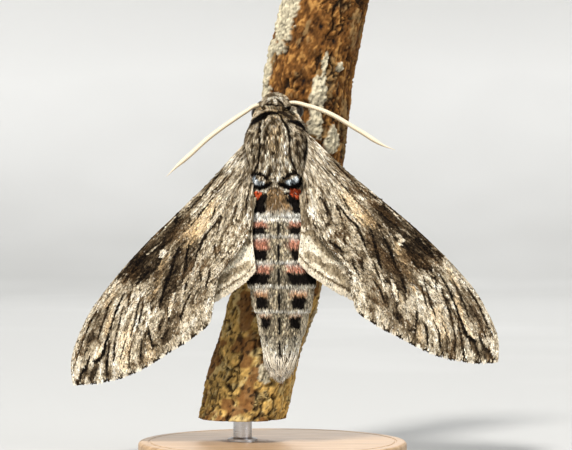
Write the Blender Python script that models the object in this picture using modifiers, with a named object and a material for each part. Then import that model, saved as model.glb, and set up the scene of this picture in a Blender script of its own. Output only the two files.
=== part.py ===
"""Convolvulus hawk-moth at rest on a short length of branch, held by a plain display stand.

All sizes below are in millimetres and become metres when a mesh is made. +Z is up, the moth's
back faces -Y, and the origin is the centre of the underside of the base.
"""

import bpy
import bmesh
import numpy as np
from math import cos, pi, radians, sin
from mathutils import Matrix, Vector

# Units and clearances
MM = 0.001
GAP = 0.3
WELD = 0.00001

# Stand
BASE_RADIUS = 23.0
BASE_THICKNESS = 3.0
BASE_ROUNDING = 0.6
BASE_SIDES = 40
ROD_RADIUS = 1.6
ROD_SIDES = 16

# Perch: height along the branch, then how far its middle lies to the side
PERCH_LINE = (
    (6.6, -5.2), (13.4, -3.7), (23.7, -1.1), (28.9, 0.35),
    (42.0, 3.1), (56.3, 5.5), (64.9, 6.4), (79.2, 9.3),
)
PERCH_FOOT = 6.9
PERCH_TOP = 79.0
PERCH_RADIUS = 7.4
PERCH_SIDES = 24
PERCH_RINGS = 22
BARK_RELIEF = 0.22

# Body stations: height, side offset, depth of the middle, half width, half depth
THORAX_STATIONS = (
    (59.2, 0.56, -14.6, 3.05, 2.95),
    (58.6, 0.57, -14.5, 3.55, 3.4),
    (57.6, 0.58, -14.4, 4.05, 4.1),
    (56.5, 0.60, -14.3, 4.50, 4.7),
    (54.8, 0.62, -14.2, 5.15, 5.1),
    (52.9, 0.63, -14.2, 5.40, 5.2),
    (50.7, 0.66, -14.1, 5.30, 5.2),
    (48.2, 0.72, -13.9, 5.00, 5.0),
    (46.1, 0.78, -13.7, 4.70, 4.8),
    (44.5, 0.82, -13.6, 4.45, 4.5),
)
ABDOMEN_STATIONS = (
    (44.2, 0.82, -13.6, 4.45, 4.50),
    (42.1, 0.87, -13.5, 4.85, 4.70),
    (38.2, 1.12, -13.4, 5.40, 4.90),
    (33.9, 1.38, -13.2, 5.80, 5.00),
    (31.2, 1.55, -13.0, 5.85, 5.00),
    (27.1, 1.75, -12.5, 5.05, 4.50),
    (23.5, 1.72, -11.9, 4.20, 3.85),
    (20.0, 1.50, -11.1, 3.35, 3.05),
    (17.0, 1.38, -10.4, 2.25, 2.10),
    (14.6, 1.30, -9.8, 0.75, 0.65),
)
SEGMENT_EDGES = (44.2, 41.6, 38.2, 33.9, 29.9, 25.8, 21.9, 18.6, 14.6)
SEGMENT_STEP = 0.022
BODY_SIDES = 26
THORAX_RINGS = 15
RINGS_A_SEGMENT = 3

# Relief of the back: shoulder lobe, middle tongue and the pair of tufts at the rear
LOBE_ANGLE = 47.0
LOBE_HEIGHT = 0.5
TONGUE_HEIGHT = 0.3
REAR_TUFT_ANGLE = 33.0
REAR_TUFT_HEIGHT = 0.45

# Head
HEAD_CENTRE = (0.55, -13.0, 59.2)
HEAD_HALF = (2.75, 2.9, 2.6)
HEAD_TURN = 5.0
EYE_OFFSET = (2.8, 0.8, -0.5)
EYE_HALF = (1.55, 1.5, 1.65)
HEAD_COLUMNS, HEAD_ROWS = 22, 14
EYE_COLUMNS, EYE_ROWS = 16, 10
PALP_POINTS = ((0.75, 2.2, -1.6), (0.95, 3.2, -0.2), (0.85, 2.9, 1.2), (0.6, 1.7, 2.45))
PALP_RADII = (0.45, 0.62, 0.6, 0.3)
TONGUE_COIL_CENTRE = (0.0, 3.45, -2.3)
COIL_INNER = 0.45
COIL_PITCH = 0.72
COIL_TURNS = 1.7
COIL_THICKNESS = 0.5
ANTENNA_THICKNESS = 0.74
ANTENNA_LEFT = (
    (-1.2, -14.0, 59.75), (-2.5, -14.0, 59.75), (-4.4, -14.0, 58.65), (-6.6, -14.1, 57.2),
    (-10.7, -14.2, 54.15), (-13.6, -14.2, 51.5), (-16.0, -14.1, 49.4), (-17.4, -14.0, 48.0),
)
ANTENNA_RIGHT = (
    (2.2, -14.0, 60.1), (3.7, -14.0, 60.2), (5.8, -14.0, 59.7), (8.8, -14.1, 58.7),
    (14.3, -14.2, 55.6), (18.9, -14.2, 52.9), (20.3, -14.1, 52.4),
)

# Wings: hinge, angle of spread from straight down, then roof tilt and droop shared by all
HINGE = {"left": (-5.06, -16.8, 52.77), "right": (6.57, -16.8, 54.24)}
SPREAD = {"left": 35.3, "right": 39.7}
HIND_TURN = {"left": -4.0, "right": 0.0}
SIDE = {"left": -1, "right": 1}
ROOF_TILT = 25.0
DROOP = 12.0
MEMBRANE = 0.52
VEIN_HEIGHT = 0.22
VEIN_HALF_WIDTH = 0.42
ROOT_THICKENING = 0.6
WING_STACK = 1.25
WING_REST = 0.1

# Forewing edges in its own plane: along the wing, then across it towards the inner edge
FORE_COSTA = (
    (-2.6, 0.4), (0.0, 0.0), (7.3, -0.9), (15.0, -2.4), (24.0, -4.3),
    (32.6, -5.4), (41.0, -5.4), (47.7, -3.2), (50.4, -0.3),
)
FORE_MARGIN = (
    (50.4, -0.3), (47.4, 3.1), (41.0, 8.0), (34.3, 10.9), (28.6, 12.95), (25.8, 13.5), (23.3, 12.4),
)
FORE_INNER = (
    (-1.2, 4.4), (3.4, 5.9), (7.0, 8.7), (11.0, 10.2), (14.8, 10.2), (17.5, 10.0),
    (20.6, 11.1), (23.3, 12.4),
)
HIND_COSTA = ((-1.0, 2.6), (6.0, 2.3), (14.0, 2.2), (22.0, 3.2), (29.0, 6.6))
HIND_MARGIN = ((29.0, 6.6), (28.2, 9.4), (25.6, 11.5), (22.3, 12.9), (18.1, 14.1), (15.4, 14.6), (13.2, 14.5))
HIND_INNER = ((1.6, 6.2), (5.0, 7.4), (8.0, 9.6), (10.8, 12.0), (13.2, 14.5))

# Veins: share of the way across at the root and at the outer edge, where along it the ridge
# starts and ends
FORE_VEINS = (
    (0.08, 0.010, 0.00, 0.80),
    (0.18, 0.035, 0.00, 0.93),
    (0.29, 0.090, 0.00, 1.00),
    (0.37, 0.210, 0.40, 1.00),
    (0.43, 0.350, 0.42, 1.00),
    (0.49, 0.500, 0.42, 1.00),
    (0.56, 0.650, 0.00, 1.00),
    (0.63, 0.800, 0.24, 1.00),
    (0.80, 0.950, 0.00, 1.00),
)
HIND_VEINS = (
    (0.12, 0.05, 0.00, 0.95),
    (0.26, 0.19, 0.00, 1.00),
    (0.36, 0.33, 0.38, 1.00),
    (0.46, 0.47, 0.38, 1.00),
    (0.56, 0.61, 0.00, 1.00),
    (0.66, 0.75, 0.22, 1.00),
    (0.82, 0.90, 0.00, 1.00),
)
FORE_COLUMNS = 17
HIND_COLUMNS = 11

# Legs: where the coxa leaves the thorax, the knee, then the angle round the branch and the
# height of the ankle and of the toe
LEG_ROOT_SIDE = 1.7
LEGS = {
    "leg_front_left": ("left", 54.9, (-3.0, -8.6, 57.0), (-54.0, 55.2), (-60.0, 50.6)),
    "leg_front_right": ("right", 54.9, (4.9, -9.3, 56.9), (4.0, 54.6), (14.0, 50.0)),
    "leg_middle_left": ("left", 51.4, (-5.6, -10.6, 50.9), (-58.0, 48.0), (-66.0, 43.0)),
    "leg_middle_right": ("right", 51.4, (8.0, -12.0, 50.3), (34.0, 48.4), (42.0, 43.4)),
    "leg_hind_left": ("left", 47.9, (-6.6, -10.6, 44.0), (-58.0, 41.0), (-66.0, 34.8)),
    "leg_hind_right": ("right", 47.9, (9.2, -12.2, 44.8), (44.0, 42.4), (48.0, 36.6)),
}
COXA_RADIUS = 0.95
THIGH_RADIUS = 0.75
KNEE_RADIUS = 0.5
SHIN_RADIUS = 0.58
ANKLE_RADIUS = 0.38
TOE_RADIUS = 0.28
LEG_POINTS = 15

# Colours: linear red, green and blue, then roughness and metallic
LOOKS = {
    "thorax_scales": ((0.24, 0.20, 0.165), 0.85, 0.0),
    "head_scales": ((0.30, 0.26, 0.22), 0.85, 0.0),
    "abdomen_scales": ((0.36, 0.30, 0.26), 0.85, 0.0),
    "wing_scales": ((0.25, 0.21, 0.17), 0.80, 0.0),
    "hindwing_scales": ((0.45, 0.39, 0.32), 0.80, 0.0),
    "antenna_cream": ((0.66, 0.57, 0.46), 0.60, 0.0),
    "eye_dark": ((0.02, 0.014, 0.01), 0.15, 0.0),
    "palp_scales": ((0.42, 0.37, 0.32), 0.85, 0.0),
    "tongue_brown": ((0.12, 0.06, 0.03), 0.45, 0.0),
    "leg_scales": ((0.34, 0.29, 0.24), 0.80, 0.0),
    "bark": ((0.23, 0.13, 0.06), 0.90, 0.0),
    "stand_steel": ((0.55, 0.55, 0.56), 0.35, 1.0),
    "stand_wood": ((0.55, 0.38, 0.22), 0.50, 0.0),
}


# Scene and mesh helpers

def clear_scene():
    for old in list(bpy.data.objects):
        bpy.data.objects.remove(old, do_unlink=True)


def new_collection(name):
    group = bpy.data.collections.new(name)
    bpy.context.scene.collection.children.link(group)
    return group


def material(name):
    colour, roughness, metallic = LOOKS[name]
    made = bpy.data.materials.get(name) or bpy.data.materials.new(name)
    made.use_nodes = True
    shader = made.node_tree.nodes["Principled BSDF"]
    shader.inputs["Base Color"].default_value = (*colour, 1.0)
    shader.inputs["Roughness"].default_value = roughness
    shader.inputs["Metallic"].default_value = metallic
    return made


def mesh_object(name, points, faces, look, group):
    """An object from points in millimetres."""
    mesh = bpy.data.meshes.new(name)
    mesh.from_pydata([tuple(float(c) * MM for c in p) for p in points], [], faces)
    mesh.validate()
    obj = bpy.data.objects.new(name, mesh)
    group.objects.link(obj)
    if look:
        mesh.materials.append(material(look))
    return obj


def cutter(name, points, faces):
    obj = mesh_object(name, points, faces, None, CUTTERS)
    obj.hide_render = True
    obj.display_type = "WIRE"
    return obj


def largest_surface(mesh):
    """Keep only the largest closed surface of a mesh."""
    work = bmesh.new()
    work.from_mesh(mesh)
    left = set(work.faces)
    pieces = []
    while left:
        seed = left.pop()
        piece, edge_of_piece = [seed], [seed]
        while edge_of_piece:
            face = edge_of_piece.pop()
            near = {other for e in face.edges for other in e.link_faces if other in left}
            left -= near
            piece.extend(near)
            edge_of_piece.extend(near)
        pieces.append(piece)
    pieces.sort(key=lambda piece: sum(face.calc_area() for face in piece))
    scraps = [face for piece in pieces[:-1] for face in piece]
    bmesh.ops.delete(work, geom=scraps, context="FACES")
    work.to_mesh(mesh)
    work.free()


def cut_clear(obj, cutters):
    """Cut an object clear of its neighbours' grown copies and keep its main piece."""
    for other in cutters:
        cut = obj.modifiers.new("clear of " + other.name, "BOOLEAN")
        cut.operation = "DIFFERENCE"
        cut.object = other
        cut.solver = "EXACT"
    depsgraph = bpy.context.evaluated_depsgraph_get()
    mesh = bpy.data.meshes.new_from_object(obj.evaluated_get(depsgraph))
    obj.modifiers.clear()
    obj.data = mesh
    largest_surface(mesh)
    return obj


def shade(obj, angle=50.0):
    obj.data.shade_smooth()
    obj.data.set_sharp_from_angle(angle=radians(angle))
    return obj


# Curves and profiles

def hermite(p0, p1, slope0, slope1, share):
    """A cubic from p0 to p1 with the given slopes over the interval."""
    s2, s3 = share * share, share ** 3
    return (
        (2 * s3 - 3 * s2 + 1) * p0 + (s3 - 2 * s2 + share) * slope0
        + (3 * s2 - 2 * s3) * p1 + (s3 - s2) * slope1
    )


def smooth_at(places, values, place):
    """The value of a smooth curve through (place, value) rows, places rising."""
    places = np.asarray(places, float)
    values = np.asarray(values, float)
    slopes = np.gradient(values, places, axis=0)
    low = int(np.clip(np.searchsorted(places, place) - 1, 0, len(places) - 2))
    span = places[low + 1] - places[low]
    share = (place - places[low]) / span
    return hermite(values[low], values[low + 1], slopes[low] * span, slopes[low + 1] * span, share)


def along(points, share):
    """The point a share of the way along a smooth line through the points."""
    points = np.asarray(points, float)
    steps = np.linalg.norm(np.diff(points, axis=0), axis=1)
    places = np.concatenate([[0.0], np.cumsum(steps)])
    return smooth_at(places, points, share * places[-1])


def station(stations, height):
    """Side offset, depth, half width and half depth of the body at a height."""
    rows = sorted(stations)
    return smooth_at([row[0] for row in rows], [row[1:] for row in rows], height)


def bump(value, centre, width):
    """A smooth hill of height 1."""
    return float(np.exp(-(((value - centre) / width) ** 2)))


def step_up(value, low, high):
    """Rise smoothly from 0 to 1 between low and high."""
    share = min(max((value - low) / (high - low), 0.0), 1.0)
    return share * share * (3 - 2 * share)


# Lofts

def loft(rings):
    """Points and faces of a closed body through rings of equal count, with fan caps."""
    count = len(rings[0])
    points = [p for ring in rings for p in ring]
    faces = []
    for r in range(len(rings) - 1):
        for k in range(count):
            a, b = r * count + k, r * count + (k + 1) % count
            faces.append((a, b, b + count, a + count))
    for ring_start, ring, order in ((0, rings[0], -1), (len(points) - count, rings[-1], 1)):
        points.append(tuple(np.mean(ring, axis=0)))
        hub = len(points) - 1
        for k in range(count):
            edge = (ring_start + k, ring_start + (k + 1) % count)
            faces.append((*edge[::order], hub))
    return points, faces


def body_ring(row, height, relief, grow):
    """One ring of the body, from the middle of the back round to it again."""
    side, depth, half_width, half_depth = row
    ring = []
    for k in range(BODY_SIDES):
        angle = -2 * pi * k / BODY_SIDES
        lift = relief(angle, height) + grow
        x = side + (half_width + lift) * sin(angle)
        y = depth - (half_depth + lift) * cos(angle)
        ring.append((x, y, height))
    return ring


def thorax_relief(angle, height):
    """Shoulder lobes over the wing roots, the middle tongue and the two rear tufts."""
    turn = abs(np.degrees(np.arctan2(sin(angle), cos(angle))))
    lobe = LOBE_HEIGHT * bump(turn, LOBE_ANGLE, 17.0) * bump(height, 52.6, 4.2)
    tongue = TONGUE_HEIGHT * bump(turn, 0.0, 22.0) * bump(height, 52.0, 5.5)
    tuft = REAR_TUFT_HEIGHT * bump(turn, REAR_TUFT_ANGLE, 14.0) * bump(height, 47.3, 1.2)
    return lobe + tongue + tuft


def segment_relief(angle, height):
    """Each ring of the abdomen swells towards its rear edge."""
    edges = SEGMENT_EDGES
    for top, low in zip(edges, edges[1:]):
        if low <= height <= top:
            share = (top - height) / (top - low)
            girth = station(ABDOMEN_STATIONS, height)[2]
            return girth * SEGMENT_STEP * (2 * share - 1) if share < 0.97 else -0.01 * girth
    return 0.0


def thorax_mesh(grow):
    top, low = THORAX_STATIONS[0][0], THORAX_STATIONS[-1][0]
    rings = []
    for share in np.linspace(0, 1, THORAX_RINGS):
        height = top + (low - top) * share
        rings.append(body_ring(station(THORAX_STATIONS, height), height, thorax_relief, grow))
    if grow:
        rings = [[(x, y, top + grow) for x, y, z in rings[0]]] + rings
        rings = rings + [[(x, y, low - grow) for x, y, z in rings[-1]]]
    return loft(rings)


def abdomen_mesh():
    heights = []
    for top, low in zip(SEGMENT_EDGES, SEGMENT_EDGES[1:]):
        heights += [top + (low - top) * k / RINGS_A_SEGMENT for k in range(RINGS_A_SEGMENT)]
    heights.append(SEGMENT_EDGES[-1])
    rings = [body_ring(station(ABDOMEN_STATIONS, h), h, segment_relief, 0.0) for h in heights]
    return loft(rings)


# Head, eyes, palps, tongue and antennae

def head_matrix():
    return Matrix.Translation(Vector(HEAD_CENTRE)) @ Matrix.Rotation(radians(-HEAD_TURN), 4, "Y")


def in_head(point):
    return tuple(head_matrix() @ Vector(point))


def ball(centre, half, grow, columns, rows):
    """Points and faces of an ellipsoid given in the head's own axes."""
    work = bmesh.new()
    bmesh.ops.create_uvsphere(work, u_segments=columns, v_segments=rows, radius=1.0)
    points = []
    for vert in work.verts:
        local = Vector([c + v * (h + grow) for c, v, h in zip(centre, vert.co, half)])
        points.append(in_head(local))
    faces = [[v.index for v in face.verts] for face in work.faces]
    work.free()
    return points, faces


def eye_centre(side):
    return (SIDE[side] * EYE_OFFSET[0], EYE_OFFSET[1], EYE_OFFSET[2])


def tube(name, path, radii, look, sides=8):
    """A round limb along a path, closed at both ends."""
    curve = bpy.data.curves.new(name + "_line", "CURVE")
    curve.dimensions = "3D"
    curve.bevel_depth = MM
    curve.bevel_resolution = sides // 2 - 2
    curve.use_fill_caps = True
    line = curve.splines.new("POLY")
    line.points.add(len(path) - 1)
    for knot, place, radius in zip(line.points, path, radii):
        knot.co = (*[float(c) * MM for c in place], 1.0)
        knot.radius = float(radius)
    guide = bpy.data.objects.new(name + "_line", curve)
    MOTH.objects.link(guide)
    depsgraph = bpy.context.evaluated_depsgraph_get()
    mesh = bpy.data.meshes.new_from_object(guide.evaluated_get(depsgraph))
    bpy.data.objects.remove(guide, do_unlink=True)
    work = bmesh.new()
    work.from_mesh(mesh)
    bmesh.ops.remove_doubles(work, verts=work.verts, dist=WELD)
    bmesh.ops.recalc_face_normals(work, faces=work.faces)
    work.to_mesh(mesh)
    work.free()
    mesh.name = name
    mesh.materials.clear()
    mesh.materials.append(material(look))
    obj = bpy.data.objects.new(name, mesh)
    MOTH.objects.link(obj)
    return obj


def make_head():
    head = mesh_object("head", *ball((0, 0, 0), HEAD_HALF, 0.0, HEAD_COLUMNS, HEAD_ROWS), "head_scales", MOTH)
    sockets = []
    for side in SIDE:
        socket, globe = (ball(eye_centre(side), EYE_HALF, grow, EYE_COLUMNS, EYE_ROWS) for grow in (GAP, 0.0))
        sockets.append(cutter("cut_socket_" + side, *socket))
        shade(mesh_object("eye_" + side, *globe, "eye_dark", MOTH))
    shade(cut_clear(head, sockets))
    grown = cutter("cut_head", *ball((0, 0, 0), HEAD_HALF, GAP, HEAD_COLUMNS, HEAD_ROWS))
    return grown, sockets


def make_palps(neighbours):
    for side, sign in SIDE.items():
        key = [in_head((sign * x, y, z)) for x, y, z in PALP_POINTS]
        path = [along(key, share) for share in np.linspace(0, 1, 8)]
        girth = [smooth_at(range(4), PALP_RADII, 3 * share) for share in np.linspace(0, 1, 8)]
        palp = tube("palp_" + side, path, girth, "palp_scales")
        shade(cut_clear(palp, neighbours))


def make_tongue(neighbours):
    """The long tongue rolled up like a watch spring under the head."""
    path = []
    for turn in np.linspace(0.0, COIL_TURNS, 24):
        reach = COIL_INNER + COIL_PITCH * turn
        angle = 2 * pi * (turn - COIL_TURNS) - pi / 2
        x, y, z = TONGUE_COIL_CENTRE
        path.append(in_head((x, y + reach * sin(angle), z + reach * cos(angle))))
    thickness = np.linspace(0.75, 1.0, len(path)) * COIL_THICKNESS / 2
    coil = tube("proboscis", path, thickness, "tongue_brown", sides=6)
    shade(cut_clear(coil, neighbours))


def make_antennae(neighbours):
    for name, key in (("antenna_left", ANTENNA_LEFT), ("antenna_right", ANTENNA_RIGHT)):
        shares = np.linspace(0, 1, 17)
        path = [along(key, share) for share in shares]
        swell = [0.7 + 0.3 * step_up(s, 0.0, 0.3) - 0.62 * step_up(s, 0.82, 1.0) for s in shares]
        antenna = tube(name, path, [ANTENNA_THICKNESS / 2 * s for s in swell], "antenna_cream")
        shade(cut_clear(antenna, neighbours))


# Wings

def wing_axes(side):
    """Along the wing, across it towards the inner edge, and out of its upper face."""
    spread, roof, droop = radians(SPREAD[side]), radians(ROOF_TILT), radians(DROOP)
    level_along = np.array([SIDE[side] * sin(spread), 0.0, -cos(spread)])
    level_across = np.array([-SIDE[side] * cos(spread), 0.0, -sin(spread)])
    back = np.array([0.0, -1.0, 0.0])
    length = cos(droop) * level_along - sin(droop) * back
    lifted = cos(droop) * back + sin(droop) * level_along
    across = cos(roof) * level_across + sin(roof) * lifted
    upper = cos(roof) * lifted - sin(roof) * level_across
    return length, across, upper


def forewing_height(a, b):
    """The forewing bows up along its middle and dips where it lies on the body."""
    bow = 0.7 * (1 - ((b - 3.5) / 9.0) ** 2) * step_up(a, 2.0, 20.0)
    tip_fall = -0.9 * step_up(a, 34.0, 51.0)
    dip = -1.0 * step_up(b, 3.0, 9.5) * bump(a, 6.0, 7.0)
    return bow + tip_fall + dip


def hindwing_height(a, b):
    """The hindwing lies just behind the forewing, and its inner part rests on the abdomen."""
    return forewing_height(a, b) - WING_STACK - 0.8 * step_up(b, 9.0, 14.0)


def patch(edges, share_out, share_across):
    """A point of the wing between its four edges."""
    costa, margin, inner = edges
    s, t = share_out, share_across
    root_start, root_end = np.array(costa[0]), np.array(inner[0])
    tip, corner = np.array(costa[-1]), np.array(inner[-1])
    lengthwise = (1 - t) * along(costa, s) + t * along(inner, s)
    crosswise = (1 - s) * (root_start + (root_end - root_start) * t) + s * along(margin, t)
    corners = (
        (1 - s) * (1 - t) * root_start + (1 - s) * t * root_end + s * (1 - t) * tip + s * t * corner
    )
    return lengthwise + crosswise - corners


def vein_rows(veins, edges, s):
    """The shares across the wing of every row at one column, with each row's ridge height."""
    width = np.linalg.norm(patch(edges, s, 1.0) - patch(edges, s, 0.0))
    crests = [root + (out - root) * step_up(s, -0.25, 1.0) ** 0.8 for root, out, _, _ in veins]
    fades = [step_up(s, begin - 0.02, begin + 0.04) * (1 - step_up(s, end - 0.12, end))
             if begin else 1 - step_up(s, end - 0.12, end) for _, _, begin, end in veins]
    rows = [(0.0, 0.0)]
    bounds = [0.0, *crests, 1.0]
    for k, crest in enumerate(crests):
        before, after = crest - bounds[k], bounds[k + 2] - crest
        reach = VEIN_HALF_WIDTH / width
        rows.append((crest - min(reach, 0.38 * before), 0.0))
        rows.append((crest, fades[k]))
        rows.append((crest + min(reach, 0.38 * after), 0.0))
    rows.append((1.0, 0.0))
    return rows


def wing_mesh(side, edges, veins, columns, height_at, turn):
    """Two faces split alike into triangles, the upper one with the veins raised on it."""
    length, across, upper = wing_axes(side)
    hinge = np.array(HINGE[side])
    swing = radians(turn)
    shares = list(np.linspace(0, 1, columns) ** 1.05)
    top, low = [], []
    for s in shares:
        for t, ridge in vein_rows(veins, edges, s):
            a, b = patch(edges, s, t)
            a, b = a * cos(swing) - b * sin(swing), b * cos(swing) + a * sin(swing)
            middle = hinge + a * length + b * across + height_at(a, b) * upper
            half = MEMBRANE / 2 + ROOT_THICKENING / 2 * bump(a, -2.0, 3.0)
            middle = over_abdomen(middle, half)
            top.append(middle + (half + VEIN_HEIGHT * ridge) * upper)
            low.append(middle - half * upper)
    return top, low, len(top) // len(shares)


def wing_object(name, side, edges, veins, columns, height_at, turn, look, cuts):
    top, low, rows = wing_mesh(side, edges, veins, columns, height_at, turn)
    count = len(top)
    faces = []
    for i in range(columns - 1):
        for j in range(rows - 1):
            a, b = i * rows + j, i * rows + j + 1
            c, d = b + rows, a + rows
            for three in ((a, b, c), (a, c, d)):
                faces.append(three)
                faces.append(tuple(v + count for v in reversed(three)))
    rim = [j for j in range(rows)] + [i * rows + rows - 1 for i in range(1, columns)]
    rim += [(columns - 1) * rows + j for j in range(rows - 2, -1, -1)]
    rim += [i * rows for i in range(columns - 2, 0, -1)]
    for a, b in zip(rim, rim[1:] + rim[:1]):
        faces.append((b, a, a + count))
        faces.append((b, a + count, b + count))
    obj = mesh_object(name, top + low, faces, look, MOTH)
    face_outwards(obj)
    return shade(cut_clear(obj, cuts), 30.0)


def face_outwards(obj):
    work = bmesh.new()
    work.from_mesh(obj.data)
    bmesh.ops.recalc_face_normals(work, faces=work.faces)
    work.to_mesh(obj.data)
    work.free()


def make_wings(thorax_cut):
    fore = (FORE_COSTA, FORE_MARGIN, FORE_INNER)
    hind = (HIND_COSTA, HIND_MARGIN, HIND_INNER)
    for side in SIDE:
        wing_object("forewing_" + side, side, fore, FORE_VEINS, FORE_COLUMNS, forewing_height,
                    0.0, "wing_scales", [thorax_cut])
        wing_object("hindwing_" + side, side, hind, HIND_VEINS, HIND_COLUMNS, hindwing_height,
                    HIND_TURN[side], "hindwing_scales", [thorax_cut])


def over_abdomen(point, half):
    """Lift a point of a wing clear of the abdomen's back, where it lies over it."""
    x, y, z = point
    if not ABDOMEN_STATIONS[-1][0] < z < ABDOMEN_STATIONS[0][0] + GAP:
        return point
    side, depth, half_width, half_depth = station(ABDOMEN_STATIONS, z)
    room = GAP + half_width * SEGMENT_STEP + half
    across = (x - side) / (half_width + room)
    if abs(across) >= 1:
        return point
    surface = depth - (half_depth + room) * (1 - across * across) ** 0.5
    return np.array([x, min(y, surface - WING_REST), z])


# Perch and legs

def perch_middle(height):
    return smooth_at([row[0] for row in PERCH_LINE], [row[1] for row in PERCH_LINE], height)


def bark_point(angle, height, lift=0.0):
    """A point of the bark; angle 0 faces the moth and turns towards +X."""
    wander = sin(3 * angle + 0.11 * height) + 0.7 * sin(5 * angle - 0.23 * height + 1.0)
    wander += 0.6 * sin(2 * angle + 0.31 * height + 2.0)
    reach = PERCH_RADIUS + BARK_RELIEF * wander + lift
    return (perch_middle(height) + reach * sin(angle), -reach * cos(angle), height)


def make_perch():
    rings = []
    for height in np.linspace(PERCH_TOP, PERCH_FOOT, PERCH_RINGS):
        angles = [-2 * pi * k / PERCH_SIDES for k in range(PERCH_SIDES)]
        rings.append([bark_point(angle, height) for angle in angles])
    shade(mesh_object("perch", *loft(rings), "bark", MOTH))


def make_legs(thorax_cut):
    for name, (side, root_height, knee, ankle, toe) in LEGS.items():
        x, y, half_width, half_depth = station(THORAX_STATIONS, root_height)
        root = np.array([x + SIDE[side] * LEG_ROOT_SIDE, y + half_depth - 1.2, root_height])
        foot = []
        for share in (0.0, 0.5, 1.0):
            angle = radians(ankle[0] + (toe[0] - ankle[0]) * share)
            height = ankle[1] + (toe[1] - ankle[1]) * share
            lift = GAP + 0.1 + ANKLE_RADIUS + (TOE_RADIUS - ANKLE_RADIUS) * share
            foot.append(np.array(bark_point(angle, height, lift)))
        knee = np.array(knee)
        thigh, shin = (root + knee) / 2, (knee + foot[0]) / 2
        key = [root, thigh, knee, shin, *foot]
        girth = (COXA_RADIUS, THIGH_RADIUS, KNEE_RADIUS, SHIN_RADIUS, ANKLE_RADIUS,
                 (ANKLE_RADIUS + TOE_RADIUS) / 2, TOE_RADIUS)
        steps = np.linalg.norm(np.diff(key, axis=0), axis=1)
        places = np.concatenate([[0.0], np.cumsum(steps)])
        shares = np.linspace(0, places[-1], LEG_POINTS)
        path = [smooth_at(places, key, place) for place in shares]
        radii = [smooth_at(places, girth, place) for place in shares]
        shade(cut_clear(tube(name, path, radii, "leg_scales"), [thorax_cut]))


# Stand

def disc(name, centre, radius, low, high, sides, look):
    work = bmesh.new()
    bmesh.ops.create_cone(work, cap_ends=True, segments=sides, radius1=radius * MM,
                          radius2=radius * MM, depth=(high - low) * MM)
    mesh = bpy.data.meshes.new(name)
    work.to_mesh(mesh)
    work.free()
    mesh.materials.append(material(look))
    obj = bpy.data.objects.new(name, mesh)
    obj.location = (centre[0] * MM, centre[1] * MM, (low + high) / 2 * MM)
    MOTH.objects.link(obj)
    return obj


def make_stand():
    base = disc("stand_base", (0, 0), BASE_RADIUS, 0.0, BASE_THICKNESS, BASE_SIDES, "stand_wood")
    edge = base.modifiers.new("rounded rim", "BEVEL")
    edge.width = BASE_ROUNDING * MM
    edge.segments = 2
    edge.limit_method = "ANGLE"
    edge.angle_limit = radians(60)
    shade(base, 35.0)
    rod_place = (perch_middle(PERCH_FOOT), 0.0)
    rod = disc("stand_rod", rod_place, ROD_RADIUS, BASE_THICKNESS + GAP, PERCH_FOOT - GAP,
               ROD_SIDES, "stand_steel")
    shade(rod)


def build():
    make_stand()
    make_perch()
    head_cut, eye_cuts = make_head()
    thorax = mesh_object("thorax", *thorax_mesh(0.0), "thorax_scales", MOTH)
    shade(cut_clear(thorax, [head_cut, *eye_cuts]))
    thorax_cut = cutter("cut_thorax", *thorax_mesh(GAP))
    shade(mesh_object("abdomen", *abdomen_mesh(), "abdomen_scales", MOTH))
    make_palps([head_cut, *eye_cuts, thorax_cut])
    make_tongue([head_cut, thorax_cut])
    make_antennae([head_cut, thorax_cut])
    make_wings(thorax_cut)
    make_legs(thorax_cut)


clear_scene()
MOTH = new_collection("convolvulus_hawk_moth")
CUTTERS = new_collection("cutters")
build()
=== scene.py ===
"""Looks of a life-size convolvulus hawk-moth that rests on a short length of branch.

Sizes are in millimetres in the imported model's frame and become metres when a mesh is made.
+Z is up, the moth's head is up and its back faces -Y. Colours are linear red, green and blue.
"""

import bpy
import bmesh
import numpy as np
from math import cos, pi, radians, sin
from mathutils import Matrix, Vector


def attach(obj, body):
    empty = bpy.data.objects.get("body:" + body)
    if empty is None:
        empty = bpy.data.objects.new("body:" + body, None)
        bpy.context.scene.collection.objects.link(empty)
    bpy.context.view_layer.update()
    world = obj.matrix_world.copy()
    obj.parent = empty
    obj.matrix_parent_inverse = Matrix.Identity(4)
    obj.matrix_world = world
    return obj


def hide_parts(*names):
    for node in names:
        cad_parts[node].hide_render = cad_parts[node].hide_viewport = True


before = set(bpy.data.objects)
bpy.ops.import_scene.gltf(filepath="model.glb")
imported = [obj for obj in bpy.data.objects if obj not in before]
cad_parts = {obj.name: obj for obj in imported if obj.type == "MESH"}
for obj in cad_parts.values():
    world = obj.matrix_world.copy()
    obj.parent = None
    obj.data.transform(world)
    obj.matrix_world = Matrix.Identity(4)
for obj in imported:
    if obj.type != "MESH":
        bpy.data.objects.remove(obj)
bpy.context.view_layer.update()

# Units and clearances, as in the part's source
MM = 0.001
GAP = 0.3

# Camera: place, and a long lens that looks level along +Y
CAMERA_PLACE = (2.31, -368.0, 40.0)
CAMERA_LENS = 135.0
SENSOR_WIDTH = 36.0
LIGHT_AIM = (0.0, 0.0, 0.04)

# Stand
BASE_RADIUS = 23.0
BASE_THICKNESS = 3.0
BASE_ROUNDING = 0.6
ROD_RADIUS = 1.6

# Perch: height along the branch, then how far its middle lies to the side
PERCH_LINE = (
    (6.6, -5.2), (13.4, -3.7), (23.7, -1.1), (28.9, 0.35),
    (42.0, 3.1), (56.3, 5.5), (64.9, 6.4), (79.2, 9.3),
)
PERCH_FOOT = 6.9
PERCH_TOP = 79.0
PERCH_RADIUS = 7.4
BARK_RELIEF = 0.22
BARK_COLUMNS = 244
BARK_ROWS = 376

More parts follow.
